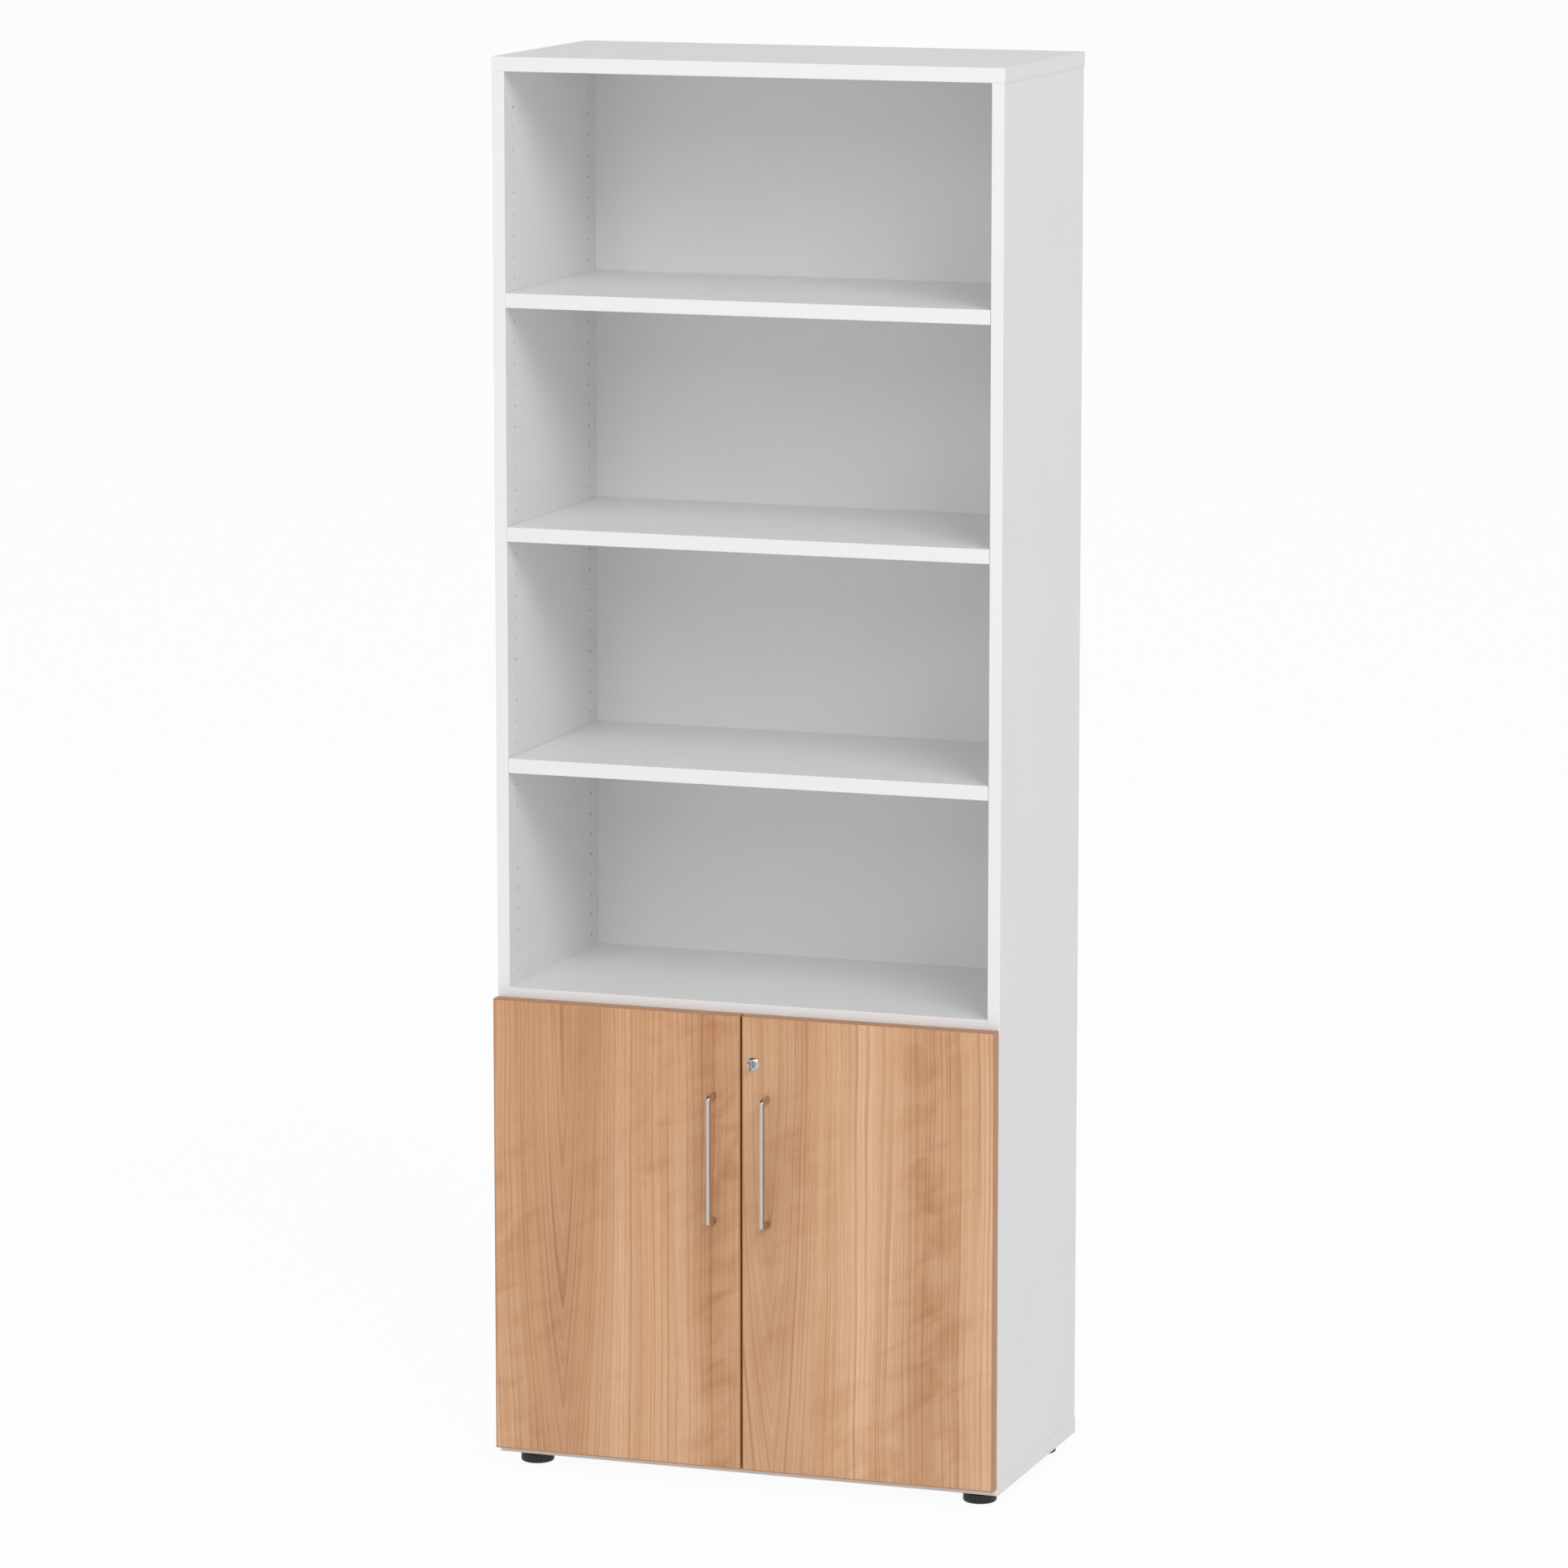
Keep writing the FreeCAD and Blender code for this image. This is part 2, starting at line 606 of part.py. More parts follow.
def make_caps():
    """Caps over the holes through which the feet are turned."""
    caps = []
    for name, (x, y) in foot_places().items():
        disc = rod(f"cap_disc_{name}", "cap_diameter", "cap_thickness", (x, y, "floor"),
                   sides=SMALL_SIDES)
        stem = rod(f"cap_stem_{name}", "key_access_diameter - 2 * cap_play", "cap_stem_length",
                   (x, y, "floor - cap_stem_length"), sides=SMALL_SIDES)
        caps.append(fuse(f"cap_{name}", [disc, stem]))
    group("foot_caps", caps)


def hinge_names():
    """Side, sign and level of each hinge."""
    return [(side, sign, level) for side, sign in SIDES.items() for level in LEVELS]


# ---------------------------------------------------------------- cup hinges

def make_cup(side, sign, level):
    """Die-cast hinge cup: round body, screw wings, and a cavity that the arm swings in."""
    z = hinge_z(level)
    bench = Bench(f"hinge_cup_{side}_{level}")
    rim = bench.sketch("XZ_Plane", "cup_rim")
    ring(rim, f"{sign} * cup_x", z, "cup_diameter")
    bench.pad(rim, "cup_depth + rim_thickness", towards=-1)
    wings = bench.sketch("XZ_Plane", "cup_rim")
    rectangle(wings, mirrored(sign, "wing_x - wing_width / 2", "wing_x + wing_width / 2"),
              (f"{z} - wing_length / 2", f"{z} + wing_length / 2"))
    bench.pad(wings, "rim_thickness", towards=-1)
    tips = [number(f"{z} + {end} * wing_length / 2") for end in (-1, 1)]
    bench.bevel_edges("wing_bevel", lambda edge: along(edge, "y")
                      and min(abs(edge.CenterOfMass.z - tip) for tip in tips) < 1e-4)

    throat = bench.sketch("XZ_Plane", "cup_rim")
    half_throat = "(eye_width / 2 + neck_play)"
    rectangle(throat, mirrored(sign, "throat_end", "pivot_x + eye_diameter / 2 + eye_play"),
              (f"{z} - {half_throat}", f"{z} + {half_throat}"))
    bench.pocket(throat, "cup_rim - cavity_floor", towards=-1)
    cavity = bench.sketch("XZ_Plane", "cup_rim")
    rectangle(cavity, mirrored(sign, "cavity_end", "throat_end"),
              (f"{z} - cavity_half_width", f"{z} + cavity_half_width"))
    bench.pocket(cavity, "cup_rim - cavity_floor", towards=-1)

    seat = bench.sketch("XY_Plane", z)
    hole(seat, f"{sign} * pivot_x", "pivot_y", "hinge_pin_diameter", SMALL_SIDES)
    bench.pocket(seat, "hinge_pin_length", both=True)


def make_arm(side, sign, level):
    """Hinge arm: an eye on the pin, a cranked neck, and a channel that clips over the rail."""
    z = hinge_z(level)
    bench = Bench(f"hinge_arm_{side}_{level}")
    neck = bench.sketch("XY_Plane", z)
    crank = [("pivot_x", "strap_low"), ("leg_inner", "strap_low"), ("leg_inner", "slant_low"),
             ("web_inner", "slant_high"), ("web_inner", "channel_start + arm_width"),
             ("web_outer", "channel_start + arm_width"), ("web_outer", "channel_start"),
             ("leg_outer", "slant_low + slant_shift"), ("leg_outer", "strap_high"),
             ("pivot_x", "strap_high")]
    outline(neck, [(f"{sign} * {x}", y) for x, y in crank])
    bench.pad(neck, "eye_width", both=True)
    eye = bench.sketch("XY_Plane", z)
    ring(eye, f"{sign} * pivot_x", "pivot_y", "eye_diameter")
    bench.pad(eye, "eye_width", both=True)

    channel = bench.sketch("XY_Plane", z)
    rectangle(channel, mirrored(sign, "web_inner", "wall_edge"), ("channel_start", "arm_tail"))
    bench.pad(channel, "arm_width", both=True)
    hollow = bench.sketch("XY_Plane", z)
    rectangle(hollow, mirrored(sign, "web_outer", "wall_edge"), ("channel_start", "arm_tail"))
    bench.pocket(hollow, "arm_width - 2 * arm_wall", both=True)

    pin_hole = bench.sketch("XY_Plane", z)
    hole(pin_hole, f"{sign} * pivot_x", "pivot_y", "hinge_pin_diameter + 2 * hinge_play",
         SMALL_SIDES)
    bench.pocket(pin_hole, "eye_width", both=True)


def make_plate(side, sign, level):
    """Mounting plate: a base on the front system row, with the rail for the arm."""
    z = hinge_z(level)
    bench = Bench(f"hinge_plate_{side}_{level}")
    base = bench.sketch("YZ_Plane", f"{sign} * side_inner")
    rectangle(base, ("row_front - plate_width / 2", "row_front + plate_width / 2"),
              (f"{z} - plate_length / 2", f"{z} + plate_length / 2"))
    bench.pad(base, "plate_thickness", towards=-sign)
    bench.bevel_edges("plate_bevel", lambda edge: along(edge, "x"))
    rail = bench.sketch("YZ_Plane", f"{sign} * side_inner")
    rectangle(rail, ("front + rail_start", "arm_tail - rail_inset"),
              (f"{z} - rail_width / 2", f"{z} + rail_width / 2"))
    bench.pad(rail, "plate_height", towards=-sign)


def make_hinge_pins(side, sign):
    """The pins of a door's hinges, fast in the cups and running in the arms' eyes."""
    group(f"hinge_pins_{side}",
          [cylinder(f"pin_{side}_{level}", "hinge_pin_diameter", "hinge_pin_length",
                    (f"{sign} * pivot_x", "pivot_y", f"{hinge_z(level)} - hinge_pin_length / 2"))
           for level in LEVELS])


# ---------------------------------------------------------------- doors and handles

def make_door(side, sign):
    """Door leaf bored for its hinge cups and, on the right, for the lock."""
    bench = Bench(f"door_{side}")
    leaf = bench.sketch("XZ_Plane", "door_front")
    rectangle(leaf, mirrored(sign, "door_meet", "door_edge"), ("door_low", "door_high"))
    bench.pad(leaf, "door_thickness", towards=1)
    depth = number("door_front")
    bench.bevel_edges("edge_bevel", lambda edge: abs(edge.CenterOfMass.y - depth) < 1e-4)
    cups = bench.sketch("XZ_Plane", "door_rear")
    for level in LEVELS:
        hole(cups, f"{sign} * cup_x", hinge_z(level), "cup_diameter + 2 * cup_seat_play")
    bench.pocket(cups, "cup_depth + cup_seat_play", towards=-1)
    if side == "right":
        through = bench.sketch("XZ_Plane", "door_rear")
        hole(through, "lock_offset", "lock_z", "barrel_diameter + 2 * barrel_play")
        bench.pocket(through, "door_thickness", towards=-1)


def make_handle(side, sign):
    """Bow handle: a flat bar turned back into two legs, with rounded corners."""
    bench = Bench(f"handle_{side}")
    bow = bench.sketch("YZ_Plane", f"{sign} * handle_offset")
    low, high = "handle_z - handle_length / 2", "handle_z + handle_length / 2"
    inside = "handle_face + handle_bar_depth"
    outline(bow, [("door_front", low), ("handle_face", low), ("handle_face", high),
                  ("door_front", high), ("door_front", f"{high} - handle_leg"),
                  (inside, f"{high} - handle_leg"), (inside, f"{low} + handle_leg"),
                  ("door_front", f"{low} + handle_leg")])
    bench.pad(bow, "handle_width", both=True)
    for radius, plane in (("handle_round", "handle_face"), ("handle_inner_round", inside)):
        depth = number(plane)
        bench.round_edges(radius, lambda edge: along(edge, "x")
                          and abs(edge.CenterOfMass.y - depth) < 1e-4)


def make_bumpers(side, sign):
    """Soft stops on the door's back, against the fixed shelf and the bottom panel."""
    heights = ("(door_low + floor) / 2", "(cabinet_ceiling + door_high) / 2")
    group(f"door_bumpers_{side}",
          [rod(f"bumper_{side}_{i}", "bumper_diameter", "door_gap - bumper_play",
               (f"{sign} * (door_meet + bumper_inset)", "door_rear", z), "y", SMALL_SIDES)
           for i, z in enumerate(heights)])


# ---------------------------------------------------------------- cam lock in the right door

def make_lock():
    """Barrel with its rosette and fixing nut, and the turning plug, cam, screw and key."""
    housing = Bench("lock_barrel")
    tube = housing.sketch("XZ_Plane", "door_front")
    ring(tube, "lock_offset", "lock_z", "barrel_diameter")
    housing.pad(tube, "barrel_rear - door_front", towards=1)
    rosette = housing.sketch("XZ_Plane", "door_front")
    ring(rosette, "lock_offset", "lock_z", "rosette_diameter")
    housing.pad(rosette, "rosette_thickness", towards=-1)
    face = number("rosette_front")
    housing.bevel_edges("rosette_bevel", lambda edge: abs(edge.CenterOfMass.y - face) < 1e-4)
    inside = housing.sketch("XZ_Plane", "rosette_front")
    hole(inside, "lock_offset", "lock_z", "plug_diameter + 2 * plug_play")
    housing.pocket(inside, "barrel_rear - rosette_front", towards=1)

    seat = ("lock_offset", "door_rear", "lock_z")
    hexagon = bore("lock_nut_blank", "nut_across", "nut_thickness", seat, "y", sides=6)
    thread = bore("lock_nut_bore", "barrel_diameter + 2 * barrel_play", "nut_thickness", seat, "y")
    cut("lock_nut", hexagon, [thread])

    plug = Bench("lock_plug")
    core = plug.sketch("XZ_Plane", "plug_front")
    circle(core, "lock_offset", "lock_z", "plug_diameter")
    plug.pad(core, "barrel_rear - plug_front", towards=1)
    tail = plug.sketch("XZ_Plane", "barrel_rear")
    square(tail, "tail_width")
    plug.pad(tail, "cam_rear - barrel_rear", towards=1)
    keyway = plug.sketch("XZ_Plane", "plug_front")
    rectangle(keyway, ("lock_offset - keyway_width / 2", "lock_offset + keyway_width / 2"),
              ("lock_z - keyway_height / 2", "lock_z + keyway_height / 2"))
    plug.pocket(keyway, "keyway_depth", towards=1)

    cam = Bench("lock_cam")
    blade = cam.sketch("XZ_Plane", "cam_front")
    rectangle(blade, ("lock_offset - cam_width / 2", "lock_offset + cam_width / 2"),
              ("lock_z - cam_reach", "lock_z + cam_width / 2"))
    cam.pad(blade, "cam_thickness", towards=1)
    cam.round_edges("cam_round", lambda edge: along(edge, "y"))
    seat = cam.sketch("XZ_Plane", "cam_front")
    square(seat, "tail_width + 2 * tail_play")
    cam.pocket(seat, "cam_thickness", towards=1)
    rod("lock_cam_screw", "cam_screw_diameter", "cam_screw_height",
        ("lock_offset", "cam_rear", "lock_z"), "y", SMALL_SIDES)

    key = Bench("lock_key")
    bow = key.sketch("YZ_Plane", "lock_offset")
    rectangle(bow, ("plug_front - key_neck - key_bow_length", "plug_front - key_neck"),
              ("lock_z - key_bow_height / 2", "lock_z + key_bow_height / 2"))
    key.pad(bow, "keyway_width - 2 * key_play", both=True)
    key.round_edges("key_round", lambda edge: along(edge, "x"))
    stem = key.sketch("YZ_Plane", "lock_offset")
    half_stem = "(keyway_height / 2 - key_play)"
    rectangle(stem, ("plug_front - key_neck - key_round", "plug_front + keyway_depth - key_play"),
              (f"lock_z - {half_stem}", f"lock_z + {half_stem}"))
    key.pad(stem, "keyway_width - 2 * key_play", both=True)
    eyelet = key.sketch("YZ_Plane", "lock_offset")
    hole(eyelet, "plug_front - key_neck - key_bow_length + key_round", "lock_z",
         "key_hole_diameter", SMALL_SIDES)
    key.pocket(eyelet, "key_bow_height", both=True)


def square(drawing, width):
    """A square on the lock's axis."""
    half = f"({width}) / 2"
    rectangle(drawing, (f"lock_offset - {half}", f"lock_offset + {half}"),
              (f"lock_z - {half}", f"lock_z + {half}"))


# ---------------------------------------------------------------- catches on the left door

def make_keeper():
    """Keeper that the lock's cam swings behind, with a ramp on its lower edge."""
    bench = Bench("keeper")
    face = bench.sketch("XZ_Plane", "door_rear")
    near_edge = "door_meet + keeper_inset"
    rectangle(face, mirrored(-1, near_edge, f"{near_edge} + keeper_width"),
              ("lock_z - keeper_height / 2", "lock_z + keeper_height / 2"))
    bench.pad(face, "keeper_rear - door_rear", towards=1)
    low, depth = number("lock_z - keeper_height / 2"), number("keeper_rear")
    bench.bevel_edges("keeper_ramp", lambda edge: along(edge, "x")
                      and abs(edge.CenterOfMass.z - low) < 1e-4
                      and abs(edge.CenterOfMass.y - depth) < 1e-4)

def make_slide_bolt():
    """Bolt with its thumb knob, in a slotted guide under the fixed shelf."""
    shaft = rod("bolt_rod", "bolt_diameter", "bolt_length",
                ("-bolt_offset", "bolt_y", "bolt_top - bolt_length"))
    knob = rod("bolt_knob", "knob_diameter", "knob_reach", ("-bolt_offset", "bolt_y", "knob_z"),
               "y", SMALL_SIDES)
    fuse("slide_bolt", [shaft, knob])

    body = block("guide_block", ("-bolt_offset - guide_width / 2", "guide_width / 2 - bolt_offset"),
                 ("door_rear", "door_rear + guide_depth"), ("guide_low", "guide_top"))
    channel = bore("guide_bore", "bolt_diameter + 2 * bolt_play", "guide_height - guide_floor",
                   ("-bolt_offset", "bolt_y", "guide_low + guide_floor"))
    reach = "(knob_diameter / 2 + knob_play)"
    slot = block("guide_slot", (f"-bolt_offset - {reach}", f"{reach} - bolt_offset"),
                 ("bolt_y", "door_rear + guide_depth"),
                 (f"knob_z - {reach}", f"knob_z + bolt_travel + {reach}"))
    cut("bolt_guide", body, [channel, slot])


# ---------------------------------------------------------------- assembly

HUNG_SHELVES = {"inner_shelf": (1, "inner_shelf_setback"), "shelf_lower": (3, "0"),
                "shelf_middle": (4, "0"), "shelf_upper": (5, "0")}

for side, sign in SIDES.items():
    make_side(side, sign)
make_top()
make_bottom()
make_back()
make_fixed_shelf()
make_dowels()
for label, (tier, setback) in HUNG_SHELVES.items():
    make_hung_shelf(label, tier, setback)
for name, (x, y) in foot_places().items():
    make_foot(name, x, y)
make_sleeves()
make_caps()
for side, sign, level in hinge_names():
    make_cup(side, sign, level)
    make_arm(side, sign, level)
    make_plate(side, sign, level)
for side, sign in SIDES.items():
    make_hinge_pins(side, sign)
    make_door(side, sign)
    make_handle(side, sign)
    make_bumpers(side, sign)
make_lock()
make_keeper()
make_slide_bolt()
doc.recompute()

NODES = (
    "side_left", "side_right", "top_panel", "bottom_panel", "back_panel", "fixed_shelf",
    "bottom_dowels", "top_dowels", "fixed_shelf_dowels", "foot_sleeves", "foot_caps",
    "lock_barrel", "lock_nut", "lock_plug", "lock_cam", "lock_cam_screw", "lock_key", "keeper",
    "slide_bolt", "bolt_guide",
    *HUNG_SHELVES, *(f"{label}_pins" for label in HUNG_SHELVES),
    *(f"foot_{name}" for name in foot_places()),
    *(f"hinge_{piece}_{side}_{level}" for piece in ("cup", "arm", "plate")
      for side in SIDES for level in LEVELS),
    *(f"{piece}_{side}" for piece in ("door", "handle", "door_bumpers", "hinge_pins")
      for side in SIDES),
)

for item in doc.Objects:
    if "Invalid" in item.State or "Error" in item.State:
        raise RuntimeError(f"{item.Label} failed: {item.State}")
    before = {"PartDesign::Pocket": "BaseFeature", "Part::Cut": "Base"}.get(item.TypeId)
    if before and item.Shape.Volume > getattr(item, before).Shape.Volume - 0.01:
        raise RuntimeError(f"{item.Label} removes nothing")
os.makedirs("parts", exist_ok=True)
for node in NODES:
    piece = doc.getObject(node)
    if piece.Shape.isNull() or not piece.Shape.isValid():
        raise RuntimeError(f"{node} has no valid shape")
    piece.Shape.exportStep(f"parts/{node}.step")
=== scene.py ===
import json
import math
import bmesh
import bpy
from mathutils import Matrix, Vector


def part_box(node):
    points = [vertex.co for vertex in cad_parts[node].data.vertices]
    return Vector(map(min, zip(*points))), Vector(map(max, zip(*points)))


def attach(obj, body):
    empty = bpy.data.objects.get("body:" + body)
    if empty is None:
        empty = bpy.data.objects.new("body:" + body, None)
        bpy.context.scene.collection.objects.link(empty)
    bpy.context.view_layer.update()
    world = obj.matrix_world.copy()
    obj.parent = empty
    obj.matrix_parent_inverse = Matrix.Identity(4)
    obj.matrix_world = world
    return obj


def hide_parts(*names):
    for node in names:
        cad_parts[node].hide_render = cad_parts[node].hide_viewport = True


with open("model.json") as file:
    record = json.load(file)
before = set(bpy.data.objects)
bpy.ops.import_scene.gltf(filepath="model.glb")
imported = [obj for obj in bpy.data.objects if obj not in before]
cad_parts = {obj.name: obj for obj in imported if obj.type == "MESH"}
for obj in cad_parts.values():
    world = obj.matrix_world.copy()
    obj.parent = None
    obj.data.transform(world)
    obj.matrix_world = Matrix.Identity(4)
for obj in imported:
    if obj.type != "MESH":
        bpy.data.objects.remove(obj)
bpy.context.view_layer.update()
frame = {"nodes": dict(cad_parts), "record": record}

# A tall white bookcase with a two-door cabinet in light walnut. Metres, +Z up, +Y to the back.
node = frame["nodes"]
SIDES = {"left": -1, "right": 1}
LEVELS = ("lower", "upper")
FOOT_NAMES = [f"{end}_{side}" for end in ("front", "rear") for side in SIDES]
CARCASS_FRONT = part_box("side_right")[0][1]
CARCASS_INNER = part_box("side_right")[0][0]
TOP_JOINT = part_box("side_right")[1][2]
DOOR_FRONT, DOOR_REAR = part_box("door_right")[0][1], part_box("door_right")[1][1]


# ------------------------------------------------------------------ camera

def set_camera():
    """The camera stands to the right of the bookcase, a little above it, and looks down."""
    data = bpy.data.cameras.new("camera")
    camera = bpy.data.objects.new("camera", data)
    bpy.context.scene.collection.objects.link(camera)
    turn, tilt = 0.3357, 0.1676
    camera.location = (3.482, -9.9787, 2.8428)
    camera.rotation_euler = (math.pi / 2 - tilt, 0, turn)
    data.sensor_width, data.lens = 36, 162.4
    data.clip_start, data.clip_end = 0.1, 200
    bpy.context.scene.camera = camera


# ------------------------------------------------------------------ materials

def linear(colour):
    """An sRGB hex colour as linear RGBA."""
    parts = [int(colour[i:i + 2], 16) / 255 for i in (1, 3, 5)]
    return (*[c / 12.92 if c <= 0.04045 else ((c + 0.055) / 1.055) ** 2.4 for c in parts], 1)


def cell(size):
    """The texture scale, per metre, of a pattern whose cells are that many millimetres wide."""
    return 1000 / size


def add(tree, kind, inputs=None, out=0, stops=(), **settings):
    """Add a node and give back one of its outputs, by number or by name.

    An input is a value, a hex colour or another node's output. The stops of a colour ramp
    are pairs of a place and a hex colour.
    """
    made = tree.nodes.new(kind)
    for name, value in settings.items():
        setattr(made, name, value)
    for count, (place, colour) in enumerate(stops):
        points = made.color_ramp.elements
        point = points[count] if count < 2 else points.new(place)
        point.position = place
        point.color = linear(colour)
    for name, value in (inputs or {}).items():
        if isinstance(value, bpy.types.NodeSocket):
            tree.links.new(value, made.inputs[name])
        else:
            made.inputs[name].default_value = linear(value) if isinstance(value, str) else value
    return made.outputs[out] if made.outputs else None


def finish_of(name, colour, roughness, metallic=0.0):
    """A new material, its tree and its main shader."""
    made = bpy.data.materials.new(name)
    made.use_nodes = True
    tree = made.node_tree
    shader = tree.nodes["Principled BSDF"]
    shader.inputs["Base Color"].default_value = linear(colour)
    shader.inputs["Roughness"].default_value = roughness
    shader.inputs["Metallic"].default_value = metallic
    return made, tree, shader


def white_melamine():
    """White melamine-faced chipboard: a hard pressed skin with a fine pearl texture.

    The eye sees a clean neutral white with a soft even sheen, and on the front edges a 2 mm ABS
    band that is a little brighter, with a hairline seam behind it; a painted shadow line runs
    along the sides under the overhanging top.
    """
    made, tree, shader = finish_of("white_melamine", "#E9E9E8", 0.42)
    where = add(tree, "ShaderNodeTexCoord", out="Object")
    depth = add(tree, "ShaderNodeSeparateXYZ", {"Vector": where}, out="Y")
    height = add(tree, "ShaderNodeSeparateXYZ", {"Vector": where}, out="Z")
    # pressed pearls are about 1 mm across; drawn at 2.5 mm so that they show
    pearl = add(tree, "ShaderNodeTexNoise", {"Vector": where, "Scale": cell(2.5), "Detail": 2})
    cloud = add(tree, "ShaderNodeTexNoise", {"Vector": where, "Scale": cell(200), "Detail": 1})
    tone = add(tree, "ShaderNodeValToRGB", {"Fac": cloud},
               stops=[(0.3, "#E9E9E9"), (0.7, "#EBEBEB")])
    band_end = CARCASS_FRONT + 0.002
    band = add(tree, "ShaderNodeMath", {0: depth, 1: band_end}, operation="LESS_THAN")
    tone = add(tree, "ShaderNodeMix", {"Factor": band, "A": tone, "B": "#F1F1F1"}, out="Result",
               data_type="RGBA")
    # the glued seam behind the band is 0.1 mm wide, drawn 0.4 mm wide; the line 0.7 mm wide under
    # the top is painted shadow of the top's overhang
    behind_band = add(tree, "ShaderNodeMath", {0: depth, 1: band_end + 0.0001, 2: 0.0002},
                      operation="COMPARE")
    under_top_shadow = add(tree, "ShaderNodeMath", {0: height, 1: TOP_JOINT - 0.0004, 2: 0.00035},
                    operation="COMPARE")
    under_top_shadow = add(tree, "ShaderNodeMath", {0: under_top_shadow, 1: band}, operation="SUBTRACT",
                    use_clamp=True)
    joint_and_shadow_line = add(tree, "ShaderNodeMath", {0: behind_band, 1: under_top_shadow}, operation="MAXIMUM")
    joint_and_shadow_line = add(tree, "ShaderNodeMath", {0: joint_and_shadow_line, 1: 0.35}, operation="MULTIPLY")
    # one grey draws the real seam behind the band and the painted shadow line under the top
    tone = add(tree, "ShaderNodeMix", {"Factor": joint_and_shadow_line, "A": tone, "B": "#B9B8B5"},
               out="Result", data_type="RGBA")
    tree.links.new(tone, shader.inputs["Base Color"])
    sheen = add(tree, "ShaderNodeMapRange", {"Value": pearl, "From Min": 0.3, "From Max": 0.7,
                                             "To Min": 0.38, "To Max": 0.48})
    tree.links.new(sheen, shader.inputs["Roughness"])
    bump = add(tree, "ShaderNodeBump", {"Height": pearl, "Strength": 0.1, "Distance": 0.0001})
    tree.links.new(bump, shader.inputs["Normal"])
    return made


# where the heart of the board lies across each leaf, and how far it wavers to each side
HEART_LEFT, HEART_RIGHT, WAVER = -0.287, 0.048, 0.008
# the growth rings' usual spacing, and how much closer they lie left and right of the heart
RING_SPACING = 0.0095
WIDE_SIDE, CLOSE_SIDE = 0.72, 1.05
# the arches: from which height to which they climb, how far, and how fast they fade sideways
ARCH_FOOT, ARCH_HEAD, ARCH_CLIMB, ARCH_FADE = -0.15, 0.66, 0.062, 180.0
# the curly band beside the heart
CURLY_BAND = 0.25


def growth_rings(tree, x, z, right, slow):
    """How far a point lies from its board's heart, and how far out among the growth rings.

    The rings stand upright and close to pointed arches low in the leaf, because each ring is
    drawn towards the heart by a share that grows with the height and fades with the distance.
    """
    heart = add(tree, "ShaderNodeMath", {0: right, 1: HEART_RIGHT - HEART_LEFT, 2: HEART_LEFT},
                operation="MULTIPLY_ADD")
    off = add(tree, "ShaderNodeMath", {0: x, 1: heart}, operation="SUBTRACT")
    off = add(tree, "ShaderNodeMath", {0: slow, 1: 2 * WAVER, 2: off}, operation="MULTIPLY_ADD")
    off = add(tree, "ShaderNodeMath", {0: off, 1: WAVER}, operation="SUBTRACT")
    lean = add(tree, "ShaderNodeMapRange", {"Value": off, "From Min": -0.004, "From Max": 0.004,
                                            "To Min": WIDE_SIDE, "To Max": CLOSE_SIDE})
    # 4 mm^2 added under the root rounds the arch at the heart
    square = add(tree, "ShaderNodeMath", {0: off, 1: off, 2: 0.000004}, operation="MULTIPLY_ADD")
    reach = add(tree, "ShaderNodeMath", {0: square}, operation="SQRT")
    reach = add(tree, "ShaderNodeMath", {0: reach, 1: lean}, operation="MULTIPLY")
    fade = add(tree, "ShaderNodeMath", {0: square, 1: -ARCH_FADE}, operation="MULTIPLY")
    fade = add(tree, "ShaderNodeMath", {0: fade}, operation="EXPONENT")
    climb = add(tree, "ShaderNodeMapRange", {"Value": z, "From Min": ARCH_FOOT,
                                             "From Max": ARCH_HEAD, "To Max": ARCH_CLIMB},
                interpolation_type="SMOOTHSTEP")
    climb = add(tree, "ShaderNodeMath", {0: climb, 1: fade}, operation="MULTIPLY")
    return off, add(tree, "ShaderNodeMath", {0: reach, 1: climb}, operation="SUBTRACT")


def near(tree, off, centre, tightness):
    """One along an upright line of the board, fading to nothing beside it."""
    gap = add(tree, "ShaderNodeMath", {0: off, 1: centre}, operation="SUBTRACT")
    gap = add(tree, "ShaderNodeMath", {0: gap, 1: gap}, operation="MULTIPLY")
    gap = add(tree, "ShaderNodeMath", {0: gap, 1: -tightness}, operation="MULTIPLY")
    return add(tree, "ShaderNodeMath", {0: gap}, operation="EXPONENT")


def growth_lines(tree, grain, ring):
    """Thin lines, each softly darker on one flank; the second value is how strongly they show."""
    wander = add(tree, "ShaderNodeTexNoise", {"Vector": grain, "Scale": cell(18.2),
                                              "Detail": 1})
    count = add(tree, "ShaderNodeMath", {0: ring, 1: 1 / RING_SPACING}, operation="MULTIPLY")
    count = add(tree, "ShaderNodeMath", {0: wander, 1: 2.6, 2: count}, operation="MULTIPLY_ADD")
    step = add(tree, "ShaderNodeMath", {0: count}, operation="FRACT")
    tone = add(tree, "ShaderNodeValToRGB", {"Fac": step},
               stops=[(0.0, "#FFFFFF"), (0.5, "#FAF6F2"), (0.84, "#E3CFBF"), (0.92, "#CBAD95"),
                      (1.0, "#FFFFFF")])
    strong = add(tree, "ShaderNodeTexNoise", {"Vector": grain, "Scale": cell(13.3),
                                              "Detail": 1})
    strong = add(tree, "ShaderNodeMapRange", {"Value": strong, "From Min": 0.35,
                                              "From Max": 0.65, "To Min": 0.12, "To Max": 0.76})
    return tone, strong


